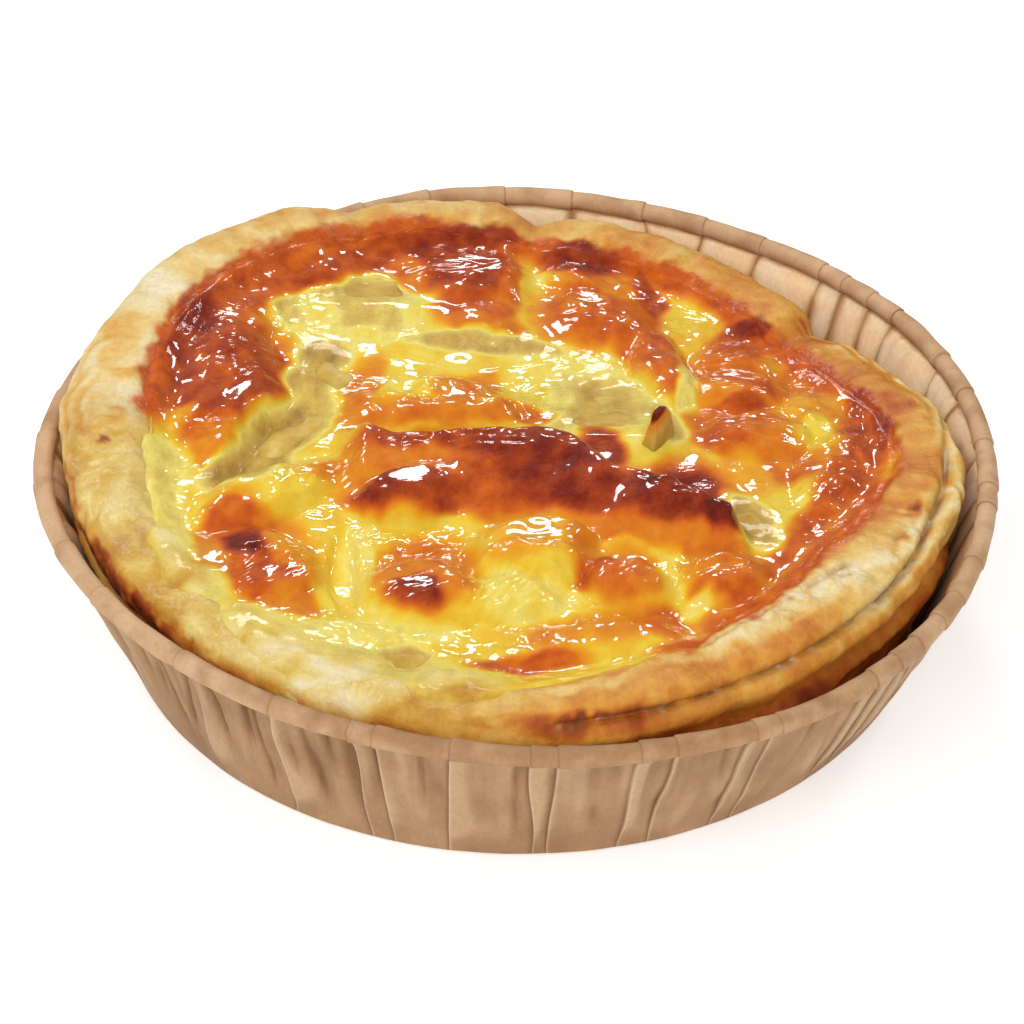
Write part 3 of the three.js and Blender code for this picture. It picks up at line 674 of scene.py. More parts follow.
def crust_controls(angle):
    """Section points of the pastry from under the middle, round the rim, to the floor of the cup."""
    edge, middle, half = rim_span(angle)
    roll_height = crest_height(angle) - ROLL_HALF_HEIGHT
    layer_height = roll_height - LOWER_LAYER_DROP
    layer = middle + half - LOWER_LAYER_INSET
    bottom = np.full_like(angle, PAPER + CLEARANCE)
    floor = bottom + CRUST_FLOOR
    zero = np.zeros_like(angle)
    controls = [
        (zero, bottom),
        (zero + CRUST_BOTTOM_RADIUS - CRUST_FOOT, bottom),
        (zero + CRUST_BOTTOM_RADIUS, bottom + CRUST_FOOT / 2),
        (lerp(CRUST_BOTTOM_RADIUS, layer, 0.6), layer_height / 2),
        (layer - LAYER_GROOVE, layer_height - ROLL_HALF_HEIGHT / 2),
        (layer, layer_height),
        (layer - 2 * LAYER_GROOVE, layer_height + ROLL_HALF_HEIGHT / 2),
    ]
    for turn in np.radians(np.linspace(ROLL_START, 180, ROLL_STEPS)):
        across, up = blunt(math.cos(turn)), blunt(math.sin(turn))
        controls.append((middle + half * across, roll_height + ROLL_HALF_HEIGHT * up))
    controls += [(edge - CUP_LEAN, floor + CUP_FOOT), (edge - CUP_FOOT, floor), (zero, floor)]
    return np.array(controls).transpose(2, 0, 1)


def smooth_section(controls, first, last):
    """Catmull-Rom rows through the control points between two of them, with plain points outside."""
    rows = [controls[:, :first]]
    for k in range(first, last):
        p0, p1, p2, p3 = (controls[:, min(max(k + d, 0), controls.shape[1] - 1)] for d in (-1, 0, 1, 2))
        for f in np.arange(ROWS_PER_SPAN) / ROWS_PER_SPAN:
            linear_part = (p2 - p0) * f
            square_part = (2 * p0 - 5 * p1 + 4 * p2 - p3) * f**2
            cube_part = (3 * p1 - p0 - 3 * p2 + p3) * f**3
            rows.append((p1 + 0.5 * (linear_part + square_part + cube_part))[:, None])
    rows.append(controls[:, last:])
    return np.concatenate(rows, axis=1)


def crust_way(rows, first):
    """Way over the rim's section of every row: 0 at the cup's edge, 0.5 on the crest, 1 at the widest."""
    control = first + (np.arange(rows) - first) / ROWS_PER_SPAN
    return (180 - ROLL_START) / 180 - (control - FIRST_ROLL_CONTROL) * WAY_PER_CONTROL


def rim_patch(angle, way, patch):
    """Share of a patch on the rim, soft at its edge."""
    at, at_way, half, half_way = patch[:4]
    distance = (angle_gap(angle, at) / math.radians(half)) ** 2 + ((way - at_way) / half_way) ** 2
    return smoothstep(1.7, 0.2, distance)


def run_between(angle, start, end, fade):
    """1 between two directions in degrees, fading to 0 outside them."""
    middle, half = (start + end) / 2, (end - start) / 2
    return smoothstep(half + fade, half, np.abs(np.degrees(angle_gap(angle, middle))))


def soaked_share(angle, way):
    """Where wet custard has soaked the front left of the rim."""
    return run_between(angle, *SOAKED_RUN) * smoothstep(1.0, 0.72, way)


def crust_relief(points, turn, way):
    """How far the baked surface stands out from the plain section, and its flour, splits and thin layers."""
    degrees = np.degrees(angle_gap(turn, 0))
    uneven = noises(points, (0.6, 14, 40), (0.42, 6, 41), (0.2, 2.4, 42), (0.06, 0.9, 43))
    ring = flat_points(RIM_RADIUS * np.cos(turn), RIM_RADIUS * np.sin(turn), 3 * way)
    radial = noises(ring, (0.14, 2.6, 94), (0.05, 1.1, 95))
    layer_run = run_between(turn, *LAYER_RUN)
    layer_way = lerp(0.84, 0.68, smoothstep(-30, -14, degrees)) + 0.03 * noise(points, 9, 44)
    groove = bell((way - layer_way) / 0.045) * layer_run
    lower = bell((way - layer_way - 0.16) / 0.09) * layer_run
    crack_run = run_between(turn, *CRACK_RUN)
    crack_way = 0.34 + 0.24 * smoothstep(-48, -22, degrees) + 0.05 * noise(points, 4, 45)
    crack = bell((way - crack_way) / 0.025) * crack_run * smoothstep(-0.4, 0.2, noise(points, 5, 58))
    splits = 0.75 * lower - 1.7 * groove - 0.6 * crack
    flour = np.clip(bell((way - crack_way - 0.06) / 0.1) * crack_run + 0.8 * groove, 0, 1)
    flakes = flour * (0.3 * noise(points, 1.6, 46) + 0.2 * np.abs(noise(points, 0.9, 47)))
    layered = np.max([run_between(turn, *run) for run in SHEET_RUNS], axis=0)
    layered = layered * smoothstep(0.5, 0.62, way) * smoothstep(1.1, 0.9, way)
    phase = SHEETS * way + noises(points, (1.3, 8, 48), (0.25, 3, 101))
    sheets = SHEET_DEPTH * np.sin(2 * np.pi * phase) * layered
    torn = 0.8 * rim_patch(turn, way, TORN_PATCH) * noise(points, 1.5, 49)
    sodden = soaked_share(turn, way) * noises(points, (0.3, 5, 83), (0.12, 2.2, 84))
    laps = 0
    for at, width, drop in CRUST_FOLDS:
        laps += 0.4 * drop * np.tanh(degrees - at) * bell((degrees - at) / (2 * width))
    ragged = smoothstep(0.4, 0.1, way) * noises(points, (0.45, 3.2, 98), (0.25, 1.4, 99))
    slump = SLUMP * run_between(turn, *SLUMP_RUN) * bell((way - 0.72) / 0.22)
    relief = uneven + radial + splits + flakes + sheets + torn + sodden + laps + ragged - slump
    # The last value, the fine relief, also sets painted light and shade in the pastry's colour.
    return relief, flour, np.maximum(groove, 0.8 * crack), sheets + radial


def crust_colour(points, turn, way, flour, split, relief_light_and_shade):
    """Colour of the baked pastry, and how wet it is."""
    spot = points + 0.8 * noise(points, 3, 50)[..., None]
    bake = around(CRUST_TONE, turn) + 0.26 * layered_noise(spot, 10, 3, 51) + 0.1 * noise(spot, 4, 97) - 0.02
    ripple_turn = turn + 0.03 * noise(points, 4, 52)
    ripple_way = way + 0.05 * noise(points, 4, 53)
    broken = smoothstep(-0.9, 0.1, noise(points, 1.6, 59))
    for patch in CRUST_PATCHES:
        share = rim_patch(ripple_turn, ripple_way, patch) * broken
        bake = lerp(bake, patch[4] + 0.08 * noise(points, 2.5, 54), share)
    # Darker below the widest point of the rim.
    bake = bake + 0.35 * smoothstep(1.2, 1.7, way) + 0.07 * noise(points, 1.2, 55)
    # Raised fine relief painted paler and its hollows darker: painted light and shade; paler where floury.
    bake = bake - 0.12 * flour - 0.8 * relief_light_and_shade
    colour = ramp(bake, PASTRY_COLOURS)
    inner = way < 0.5
    joined = smoothstep(0.38, 0.26, way + noises(points, (0.1, 3, 92), (0.05, 1.2, 100)))
    beside = bake_level(points[inner][:, 0], points[inner][:, 1])
    joined[inner] *= lerp(0.45, 1, smoothstep(0.3, 0.5, beside))
    colour[inner] = mix(colour[inner], ramp(beside, BAKE_COLOURS), joined[inner])
    # Greyish brown in the groove and crack: flour dust and painted shade in the recess.
    dust_and_groove_shade = split * smoothstep(-0.5, 0.3, noise(points, 2.5, 56))
    colour = mix(colour, linear("8e6442"), 0.7 * dust_and_groove_shade)
    colour = mix(colour, linear("f4e2bc"), 0.6 * flour * smoothstep(0.0, 0.5, noise(points, 1.1, 102)))
    colour = mix(colour, linear("a8743a"), 0.5 * flour * smoothstep(0.2, 0.6, noise(points, 1.3, 103)))
    wet = soaked_share(turn, way)
    scorched = smoothstep(0.5, 0.7, bake)
    soaking = bake_level(points[..., 0], points[..., 1]) + 0.12 * layered_noise(points, 4, 3, 57)
    colour = mix(colour, ramp(soaking, SOAKED_COLOURS), 0.9 * wet * (1 - scorched))
    return colour, np.maximum(wet, joined)


def build_crust():
    first, last = 2, FIRST_ROLL_CONTROL + ROLL_STEPS
    angle = np.arange(CRUST_COLUMNS) * 2 * np.pi / CRUST_COLUMNS
    section = smooth_section(crust_controls(angle), first, last)
    rows = section.shape[1]
    turn = np.broadcast_to(angle[:, None], section.shape[:2])
    way = np.broadcast_to(crust_way(rows, first), section.shape[:2])
    radius, height = section[..., 0], section[..., 1]
    clear = PLEAT_DEPTH * (1 + PLEAT_SPREAD) + PAPER / 2 + CLEARANCE
    below_rim = height < CASE_RIM_HEIGHT + RIM_ROLL_RADIUS + CLEARANCE
    limit = np.where(below_rim, wall_radius(turn, np.minimum(height, CASE_RIM_HEIGHT)) - clear, np.inf)
    radius = np.minimum(radius, limit)
    points = np.stack([radius * np.cos(turn), radius * np.sin(turn), height], axis=-1)
    relief, flour, split, relief_light_and_shade = crust_relief(points, turn, way)
    shown = (np.arange(rows) >= first) & (np.arange(rows) < rows - 3)
    moved = points + surface_normals(points) * (relief * shown)[..., None]
    radius = np.minimum(np.hypot(moved[..., 0], moved[..., 1]), limit + CLEARANCE / 2)
    height = np.maximum(moved[..., 2], PAPER + CLEARANCE / 2)
    colour, wet = crust_colour(points, turn, way, flour, split, relief_light_and_shade)
    mesh_points, faces = turned_mesh(radius, height, turn)
    make_piece("crust_pastry", mesh_points, faces, "pastry", "crust", pastry_material(),
               in_mesh_order(colour), wet=in_mesh_order(wet))


# Filling
FILL_RINGS = 150
FILL_INTO_CRUST = 1.2
SPILL_THICKNESS = 0.35  # of the custard that ran over the rim
SPILL_TAPER = 5.0
SPILL_CLIMB = 11.0  # how far inside the cup its surface starts to rise
RIM_CLIMB = 4.0  # the same where it ends on the inner side of the rim
SPILL_DIP = 1.5  # fall of its edge into the pastry one millimetre past its end


def ring_start(ring):
    """Number of a disc's first point on a ring, where ring k has 8 k points."""
    return 1 + 4 * ring * (ring - 1) if ring else 0


def disc_grid(rings):
    """Share of the radius, angle and triangles of a disc whose ring k has 8 k points."""
    share, angle, faces = [np.zeros(1)], [np.zeros(1)], []
    for ring in range(1, rings + 1):
        share.append(np.full(8 * ring, ring / rings))
        angle.append(np.arange(8 * ring) * 2 * np.pi / (8 * ring))
        inner = ring - 1
        octant, step = np.meshgrid(np.arange(8), np.arange(ring), indexing="ij")
        low = ring_start(inner) + (octant * inner + step) % max(1, 8 * inner)
        high = ring_start(ring) + (octant * ring + step) % (8 * ring)
        high_next = ring_start(ring) + (octant * ring + step + 1) % (8 * ring)
        faces.append(np.stack([low, high, high_next], axis=-1).reshape(-1, 3))
        if inner:
            low_next = ring_start(inner) + (octant * inner + step + 1) % (8 * inner)
            both = np.stack([low, high_next, low_next], axis=-1)[:, :-1]
            faces.append(both.reshape(-1, 3))
    return np.concatenate(share), np.concatenate(angle), np.concatenate(faces)


def bake_level(x, y):
    """How far the skin is baked: ovals with uneven soft edges, laid over one another."""
    spot = flat_points(x, y)
    x = x + noises(spot, (0.9, 5, 60), (0.3, 2, 61))
    y = y + noises(spot, (0.9, 5, 62), (0.3, 2, 63))
    bake = BAKE_LEVEL + noises(spot, (0.07, 7, 64), (0.06, 3, 67))
    for patch in BAKE_PATCHES:
        bake = lerp(bake, patch[5], smoothstep(1.7, 0.2, oval_distance(patch, x, y)))
    angle = np.arctan2(y, x)
    border = smoothstep(-BORDER_WIDTH, -0.5, np.hypot(x, y) - around(CRUST_EDGE, angle))
    border = border * run_between(angle, *BORDER_RUN) * smoothstep(-0.8, -0.2, noise(spot, 6, 104))
    bake = lerp(bake, np.maximum(bake, BORDER_BAKE), border)
    mottle = noises(spot, (0.06, 3, 65), (0.03, 1.2, 66))
    return bake + mottle * smoothstep(-0.5, 0.5, bake)


def overflow_way(angle):
    """How far over the rim's section the custard reaches in a direction."""
    ring = flat_points(RIM_RADIUS * np.cos(angle), RIM_RADIUS * np.sin(angle))
    spill = [amount * bell(angle_gap(angle, at) / math.radians(half)) for at, half, amount in OVERFLOW]
    spill = np.max(spill, axis=0) * (1 + noises(ring, (0.25, 7, 68), (0.1, 3, 69)))
    return np.clip(spill, OVERFLOW_LEAST, 1)


def wrinkle_height(x, y):
    """Parallel wrinkles along the length of each wrinkled patch."""
    total = np.zeros_like(x)
    for seed, patch in enumerate(WRINKLES):
        at_x, at_y, _, _, turn, depth = patch
        distance = oval_distance(patch, x, y)
        near = distance < 1.6
        along, across = along_across(x[near], y[near], at_x, at_y, turn)
        bend = 0.8 * noise(flat_points(along, across), 5, 90 + seed)
        wave = noise(flat_points(along / WRINKLE_STRETCH, across + bend), WRINKLE_SIZE, 91 + seed)
        share = smoothstep(1.6, 0.4, distance[near])
        total[near] += WRINKLE_STRENGTH * depth * share * (1 - 2.4 * np.abs(wave))
    return total


def level_tops(x, y, height):
    """The skin's height, nearly flat on the level tops, and the share of them at every point."""
    calm = np.zeros_like(x)
    for top in LEVEL_TOPS:
        middle = skin_height(np.array([top[0]]), np.array([top[1]]))[0]
        share = smoothstep(1, 0.25, oval_distance(top, x, y))
        height = lerp(height, middle, LEVEL_SHARE * share)
        calm = np.maximum(calm, share)
    return height, calm


def potato_banks(x, y, height):
    """The custard levelled round each potato piece, so that only the piece's top stands clear."""
    for at_x, at_y, top, size, turn, lean, clear in POTATOES.values():
        oval = (at_x, at_y, size[0] / 2, size[1] / 2, turn)
        beyond = (np.sqrt(oval_distance(oval, x, y)) - 1) * min(size[:2]) / 2
        across = np.clip(along_across(x, y, at_x, at_y, turn)[1], -size[1] / 2, size[1] / 2)
        ripple = 0.3 * noise(flat_points(x, y), 3.5, 93)
        flush = top - clear + across * math.sin(math.radians(lean)) + ripple
        height = soft_max(height, flush - POTATO_BANK * np.maximum(0, beyond) - 0.2, 1.2)
    return height


def skin_relief(spot, bake):
    """Small unevenness: soft lumps all over, and curdled ridges where the cheese is still yellow."""
    yellow = smoothstep(0.36, 0.2, bake) * smoothstep(-0.1, 0.02, bake)
    stretched = spot * np.array([0.6, 1, 1]) + 1.2 * noise(spot, 6, 80)[..., None]
    curd = 0.23 - 0.3 * np.abs(noise(stretched, 2.2, 81)) - 0.16 * np.abs(noise(stretched, 1.1, 82))
    lumps = noises(spot, (0.42, 5.5, 74), (0.26, 2.4, 75), (0.07, 0.95, 76))
    return lumps + curd * yellow


def skin_limit(angle):
    """Radius at which the skin ends on the rim."""
    _, middle, half = rim_span(angle)
    return middle - half * blunt(np.cos(np.pi * overflow_way(angle)))


def roll_top(angle, way):
    """Height of the plain rolled rim at a way over its section."""
    return crest_height(angle) - ROLL_HALF_HEIGHT * (1 - blunt(np.sin(np.pi * way)))


def climb_rim(spot, reach, angle, height):
    """The skin's height where it climbs the rim and runs over it, and where it is creamy or dry."""
    edge, middle, half = rim_span(angle)
    crest, limit, over_way = crest_height(angle), skin_limit(angle), overflow_way(angle)
    across = np.clip((reach - middle) / half, -1, 1)
    way = 1 - np.arccos(np.sign(across) * np.abs(across) ** (1 / ROLL_SQUARENESS)) / np.pi
    crust_top = roll_top(angle, way)
    crust_top += crust_relief(flat_points(spot[:, 0], spot[:, 1], crust_top), angle, way)[0]
    flood = smoothstep(0.3, 0.55, over_way)
    climb_from = edge - lerp(RIM_CLIMB, SPILL_CLIMB, flood)
    left = np.minimum((limit - reach) / SPILL_TAPER, 1)
    coat = SPILL_THICKNESS * lerp(0.3, 1, flood) * (1 + 0.6 * noise(spot, 4, 85)) * left
    past = np.maximum(0, reach - limit) ** 2
    shelf = roll_top(angle, np.minimum(over_way, 0.5))
    climb = smoothstep(climb_from, middle - 1, reach)
    bank = np.minimum(lerp(height, crest + coat, climb), np.maximum(height, shelf) + coat)
    bank = np.where(reach < middle, bank, crust_top - 3) - SPILL_DIP * past
    over = soft_max(bank, crust_top + coat - 0.5 * past, lerp(0.4, 1.6, flood))
    height = lerp(height, over, smoothstep(climb_from, edge, reach))
    cream = flood * smoothstep(edge - 4, edge + 3, reach + noises(spot, (2, 4, 87), (0.8, 1.6, 96)))
    dry = np.maximum(cream, smoothstep(limit - 2.5, limit, reach))
    return height, cream, dry


def build_filling():
    share, angle, faces = disc_grid(FILL_RINGS)
    reach = share * (skin_limit(angle) + FILL_INTO_CRUST)
    x, y = reach * np.cos(angle), reach * np.sin(angle)
    spot = flat_points(x, y)
    bake = bake_level(x, y)
    warp_x = x + noises(spot, (0.9, 7, 70), (0.35, 2.6, 71))
    warp_y = y + noises(spot, (0.9, 7, 72), (0.35, 2.6, 73))
    height = skin_height(warp_x, warp_y) + skin_relief(spot, bake)
    height, calm = level_tops(x, y, height)
    height = height + wrinkle_height(x, y) * (1 - 0.45 * calm)
    height = potato_banks(x, y, height)
    height, cream, dry = climb_rim(spot, reach, angle, height)

    top = flat_points(x, y, height)
    rim = len(top) - 8 * FILL_RINGS + np.arange(8 * FILL_RINGS)
    floor = PAPER + 2 * CLEARANCE + CRUST_FLOOR
    inward = (around(CRUST_EDGE, angle[rim]) - CUP_FOOT) / reach[rim]
    skirt = flat_points(x[rim] * inward, y[rim] * inward, floor)
    below = len(top) + np.arange(len(rim))
    centre = np.full(len(rim), len(top) + len(rim))
    after = np.roll(np.arange(len(rim)), -1)
    side = [np.stack([rim, below, below[after]], axis=1), np.stack([rim, below[after], rim[after]], axis=1)]
    base = np.stack([below[after], below, centre], axis=1)
    points = np.concatenate([top, skirt, [[0, 0, floor]]])
    amounts = {"bake": bake, "cream": cream, "calm": calm, "dry": dry}
    amounts = {key: np.concatenate([values, values[rim], values[:1]]) for key, values in amounts.items()}
    make_piece("filling_skin", points, np.concatenate([faces, *side, base]), "custard", "filling",
               custard_material(), **amounts)


# Potato
POTATO_COLUMNS = 64
POTATO_ROWS = 42
POTATO_BLUNTNESS = 0.6
FLAKE_BLUNTNESS = 0.4
FLAKE_TIP = 0.45  # width of the standing flake's tip, as a share of its foot


def build_potato(name, seed, material):
    x, y, top, size, turn, lean, _ = POTATOES[name]
    spin = np.arange(POTATO_COLUMNS) * 2 * np.pi / POTATO_COLUMNS
    spin, down = np.meshgrid(spin, np.linspace(0, np.pi, POTATO_ROWS), indexing="ij")
    unit = np.stack([np.sin(down) * np.cos(spin), np.sin(down) * np.sin(spin), -np.cos(down)], axis=-1)
    blunting = FLAKE_BLUNTNESS if name == "potato_standing" else POTATO_BLUNTNESS
    points = np.sign(unit) * np.abs(unit) ** blunting * np.array(size) / 2
    place = points + 50 * seed
    if name == "potato_standing":
        points[..., :2] *= lerp(1.0, FLAKE_TIP, smoothstep(-1, size[2] / 2, points[..., 2]))[..., None]
    points = points + unit * noises(place, (0.45, 4, 88), (0.12, 1.5, 89))[..., None]
    points[:, 0] = points[:, 0].mean(axis=0)
    points[:, -1] = points[:, -1].mean(axis=0)
    turned = np.array(Euler((math.radians(lean), 0, math.radians(turn))).to_matrix())
    points = points @ turned.T + np.array([x, y, top - size[2] / 2])
    tone = 0.5 + 0.5 * layered_noise(points, 4, 3, 90)
    colour = ramp(tone, [(0.1, "b8923f"), (0.5, "cda84f"), (0.9, "e0c672")])
    if name == "potato_standing":
        edge = points[..., 2] + 0.8 * (x - points[..., 0])
        colour = mix(colour, linear("d98a2e"), smoothstep(top - 2.6, top - 1.2, edge))
        colour = mix(colour, linear("6e2210"), smoothstep(top - 1.1, top - 0.3, edge))
    faces = turned_triangles(POTATO_COLUMNS, POTATO_ROWS)
    make_piece(name + "_flesh", in_mesh_order(points), faces, "potato", name, material, in_mesh_order(colour))


# Materials
class Graph:
    """A material's nodes. Inputs are plain values or another node's output."""

    def __init__(self, name):
        self.material = bpy.data.materials.new(name)
        self.material.use_nodes = True
        self.tree = self.material.node_tree
        self.shader = self.tree.nodes["Principled BSDF"]

    def add(self, kind, inputs=None, output=0, **settings):
        node = self.tree.nodes.new("ShaderNode" + kind)
        for key, value in settings.items():
            setattr(node, key, value)
        for key, value in (inputs or {}).items():
            self.put(node.inputs[key], value)
        return node.outputs[output]

    def put(self, socket, value):
        if isinstance(value, bpy.types.NodeSocket):
            self.tree.links.new(value, socket)
        else:
            socket.default_value = value

    def set(self, **values):
        for key, value in values.items():
            self.put(self.shader.inputs[key.replace("_", " ")], value)

    def object_place(self):
        return self.add("TexCoord", output=3)

    def attribute(self, name):
        return self.add("Attribute", output=2, attribute_name=name)

    def math(self, operation, a, b):
        return self.add("Math", {0: a, 1: b}, operation=operation)

    def remap(self, value, source, target):
        ends = {"From Min": source[0], "From Max": source[1], "To Min": target[0], "To Max": target[1]}
        return self.add("MapRange", {"Value": value, **ends})

    def vector(self, operation, a, b=None):
        return self.add("VectorMath", {0: a} if b is None else {0: a, 1: b}, operation=operation)

    def speckle(self, size_mm, detail=3.0, stretch=(1, 1, 1)):
        scale = Vector(stretch) / (size_mm * MM)
        place = self.add("Mapping", {"Vector": self.object_place(), "Scale": scale})
        return self.add("TexNoise", {"Vector": place, "Scale": 1.0, "Detail": detail})

    def tint(self):
        return self.add("VertexColor", layer_name="tint")

    def ramp(self, share, stops):
        """Colours along a list of (place, screen colour)."""
        low, high = stops[0][0], stops[-1][0]
        node = self.tree.nodes.new("ShaderNodeValToRGB")
        self.put(node.inputs["Fac"], self.remap(share, (low, high), (0, 1)))
        elements = node.color_ramp.elements
        for at, code in stops[1:-1]:
            elements.new((at - low) / (high - low)).color = (*linear(code), 1)
        elements[0].color = (*linear(stops[0][1]), 1)
        elements[-1].color = (*linear(stops[-1][1]), 1)
        return node.outputs["Color"]

    def mix(self, a, b, share, blend="MIX"):
        return self.add("Mix", {6: a, 7: b, 0: share}, output=2, data_type="RGBA", blend_type=blend)

    def mottled(self, colour, share, low, high):
        """A colour darkened and lightened by a share from a texture."""
        return self.mix(colour, self.remap(share, (0.3, 0.7), (low, high)), 1.0, "MULTIPLY")

    def bump(self, height, depth_mm, under=None, strength=1.0):
        inputs = {"Height": height, "Distance": depth_mm * MM, "Strength": strength}
        if under:
            inputs["Normal"] = under
        return self.add("Bump", inputs)

    def streaks(self, size_mm, detail=3.0, rise=0.2):
        """Noise that stays alike along each line running away from the middle."""
        place = self.object_place()
        even = Vector((1, 1, 1))
        ring = self.vector("NORMALIZE", self.vector("MULTIPLY", place, Vector((1, 1, 0))))
        ring = self.vector("MULTIPLY", ring, even * RIM_RADIUS / size_mm)
        own = self.vector("MULTIPLY", place, even * rise / (size_mm * MM))
        both = self.vector("ADD", ring, own)
        return self.add("TexNoise", {"Vector": both, "Scale": 1.0, "Detail": detail})


def paper_material():
    graph = Graph("kraft_paper")
    fibre = graph.speckle(0.45, 5.0, (1, 1, 0.45))
    graph.set(Base_Color=graph.mottled(graph.tint(), fibre, 0.92, 1.06), Roughness=0.75)
    graph.set(Normal=graph.bump(fibre, 0.05), Specular_IOR_Level=0.3)
    return graph.material


def pastry_material():
    graph = Graph("puff_pastry")
    streak = graph.streaks(0.8, 4.0)
    crumb = graph.speckle(0.6, 5.0)
    colour = graph.mottled(graph.tint(), streak, 0.95, 1.04)
    graph.set(Base_Color=graph.mottled(colour, crumb, 0.92, 1.07))
    graph.set(Roughness=graph.remap(graph.attribute("wet"), (0, 1), (0.5, 0.28)))
    graph.set(Normal=graph.bump(crumb, 0.16, graph.bump(streak, 0.04)), Specular_IOR_Level=0.4)
    return graph.material


def custard_material():
    graph = Graph("cheese_custard")
    bake = graph.attribute("bake")
    blotch = graph.remap(graph.speckle(2.4, 5.0), (0.3, 0.7), (-0.07, 0.07))
    fine = graph.speckle(0.45, 3.0)
    freckle = graph.remap(fine, (0.3, 0.7), (-0.03, 0.03))
    browned = graph.remap(bake, (0.1, 0.5), (0.25, 1.0))
    swing = graph.math("MULTIPLY", graph.math("ADD", blotch, freckle), browned)
    strand = graph.remap(graph.speckle(2.4, 4.0, (1.4, 0.7, 1)), (0.3, 0.7), (-0.06, 0.06))
    pale = graph.remap(bake, (0.02, 0.2), (1.0, 0.0))
    swing = graph.math("ADD", swing, graph.math("MULTIPLY", strand, pale))
    colour = graph.ramp(graph.math("ADD", bake, swing), BAKE_COLOURS)
    milky = graph.remap(graph.speckle(4.0, 4.0), (0.3, 0.7), (-0.14, 0.14))
    soaked = graph.ramp(graph.math("ADD", bake, milky), SOAKED_COLOURS)
    colour = graph.mix(colour, soaked, graph.attribute("cream"))
    graph.set(Base_Color=graph.mottled(colour, fine, 0.95, 1.05), Roughness=0.4, Specular_IOR_Level=0.1)
    drops = graph.add("TexVoronoi", {"Vector": graph.object_place(), "Scale": 1 / (2.2 * MM)})
    drops = graph.remap(drops, (0.0, 0.13), (1.0, 0.0))
    crinkle = graph.speckle(1.1, 2.0, (0.35, 1.3, 1))
    places = graph.remap(graph.speckle(7.0, 1.0), (0.48, 0.63), (0.1, 1.0))
    lively = graph.math("MULTIPLY", places, graph.remap(bake, (-0.05, 0.06), (0.15, 1.0)))
    lively = graph.math("MULTIPLY", lively, graph.remap(graph.attribute("calm"), (0, 1), (1.0, 0.3)))
    skin = graph.bump(graph.speckle(0.5, 2.0), 0.03, graph.bump(crinkle, 0.1, None, lively), lively)
    graph.set(Normal=graph.bump(fine, 0.07, graph.bump(crinkle, 0.1)))
    graph.set(Coat_Normal=graph.bump(drops, 0.035, skin))
    graph.set(Subsurface_Weight=0.3, Subsurface_Radius=Vector((1.0, 0.45, 0.1)), Subsurface_Scale=0.002)
    wet = graph.remap(graph.attribute("dry"), (0, 1), (1.0, 0.06))
    graph.set(Coat_Weight=graph.math("MULTIPLY", wet, graph.remap(bake, (-0.12, 0.2), (0.2, 1.0))))
    graph.set(Coat_Roughness=0.05, Coat_IOR=1.5)
    return graph.material


def potato_material():
    graph = Graph("boiled_potato")
    fine = graph.speckle(0.8, 3.0)
    graph.set(Base_Color=graph.mottled(graph.tint(), fine, 0.92, 1.06), Roughness=0.5)
    graph.set(Normal=graph.bump(fine, 0.1))
    graph.set(Subsurface_Weight=0.5, Subsurface_Radius=Vector((1.0, 0.8, 0.35)), Subsurface_Scale=0.002)
    graph.set(Coat_Weight=0.04, Coat_Roughness=0.15, Specular_IOR_Level=0.15)
    return graph.material


build_case()
build_crust()
build_filling()
potato_flesh = potato_material()
for seed, name in enumerate(POTATOES):
    build_potato(name, seed, potato_flesh)


# Stage, in metres
FLOOR_HALF = 3.0
FLOOR_DROP = 0.0002  # below the base, so that the two faces stay apart
FLOOR_WHITE = 0.8
FLOOR_GLOW = 0.45
SKY_STRENGTH = 0.12
LIGHT_TARGET = (0, 0, 0.02)


def build_stage():
    mesh = bpy.data.meshes.new("floor")
    corners = [(x * FLOOR_HALF, y * FLOOR_HALF, 0) for x, y in ((-1, -1), (1, -1), (1, 1), (-1, 1))]
    mesh.from_pydata(corners, [], [(0, 1, 2, 3)])
    floor = bpy.data.objects.new("floor", mesh)
    bpy.context.scene.collection.objects.link(floor)
    floor.location.z = -FLOOR_DROP
    graph = Graph("white_floor")
    graph.set(Base_Color=(FLOOR_WHITE, FLOOR_WHITE, FLOOR_WHITE, 1), Roughness=0.9, Specular_IOR_Level=0.0)
    graph.set(Emission_Color=(1, 1, 1, 1), Emission_Strength=FLOOR_GLOW)
    mesh.materials.append(graph.material)


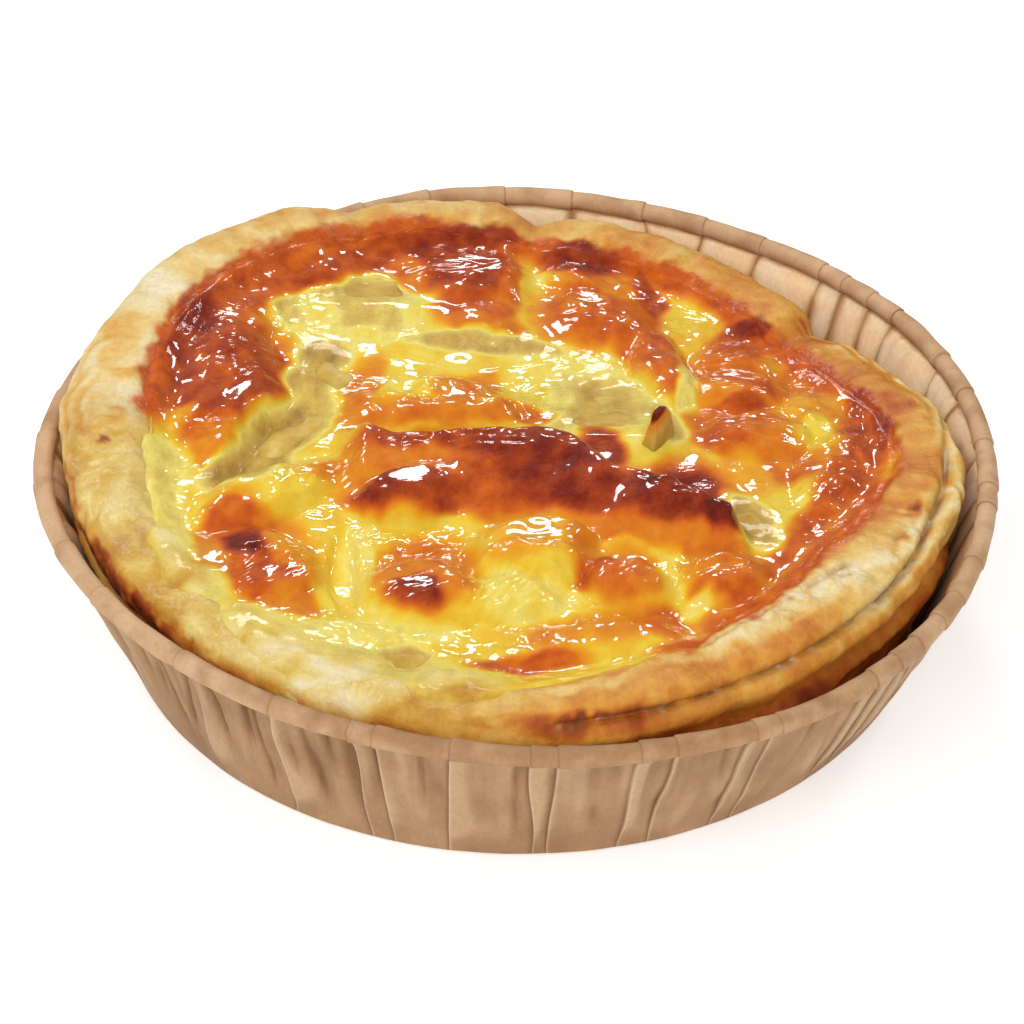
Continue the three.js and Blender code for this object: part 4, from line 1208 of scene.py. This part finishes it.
def add_light(name, place, size, watts):
    data = bpy.data.lights.new(name, "AREA")
    data.shape = "DISK"
    data.size = size
    data.energy = watts
    light = bpy.data.objects.new(name, data)
    light.location = place
    light.rotation_euler = (Vector(LIGHT_TARGET) - Vector(place)).to_track_quat("-Z", "Y").to_euler()
    bpy.context.scene.collection.objects.link(light)
    return light


# Lights: name, place in metres, width, watts, and whether wet surfaces mirror it
LIGHTS = [
    ("key", (-0.45, 0.4, 0.6), 0.2, 1.8, True),
    ("glint_back", (0.0, 0.75, 0.6), 0.18, 1.6, True),
    ("glint_right", (0.5, 0.4, 0.6), 0.12, 0.8, True),
    ("overhead", (0.15, -0.75, 0.95), 1.2, 7.2, False),
    ("side", (-0.55, -0.45, 0.8), 0.8, 3.0, False),
    ("front", (0.1, -1.0, 0.45), 0.8, 2.6, False),
]


def build_lights():
    for name, place, width, watts, mirrored in LIGHTS:
        add_light(name, place, width, watts).visible_glossy = mirrored
    world = bpy.data.worlds.new("studio")
    world.use_nodes = True
    background = world.node_tree.nodes["Background"]
    background.inputs["Color"].default_value = (1, 1, 1, 1)
    background.inputs["Strength"].default_value = SKY_STRENGTH
    bpy.context.scene.world = world


# Camera, with lengths in millimetres
CAMERA_LENS = 134.0
CAMERA_SENSOR = 36.0
CAMERA_RISE = math.radians(37.0)
CAMERA_DISTANCE = 481.0
CAMERA_TARGET = np.array([-1.1, 1.8, 11.0])


def build_camera():
    data = bpy.data.cameras.new("camera")
    data.lens = CAMERA_LENS
    data.sensor_width = CAMERA_SENSOR
    camera = bpy.data.objects.new("camera", data)
    target = (CAMERA_TARGET + MIDDLE_SHIFT) * MM
    back = np.array([0, -math.cos(CAMERA_RISE), math.sin(CAMERA_RISE)]) * CAMERA_DISTANCE * MM
    camera.location = target + back
    camera.rotation_euler = (math.pi / 2 - CAMERA_RISE, 0, 0)
    bpy.context.scene.collection.objects.link(camera)
    bpy.context.scene.camera = camera


build_stage()
build_lights()
build_camera()
bpy.context.scene.view_settings.view_transform = "Standard"
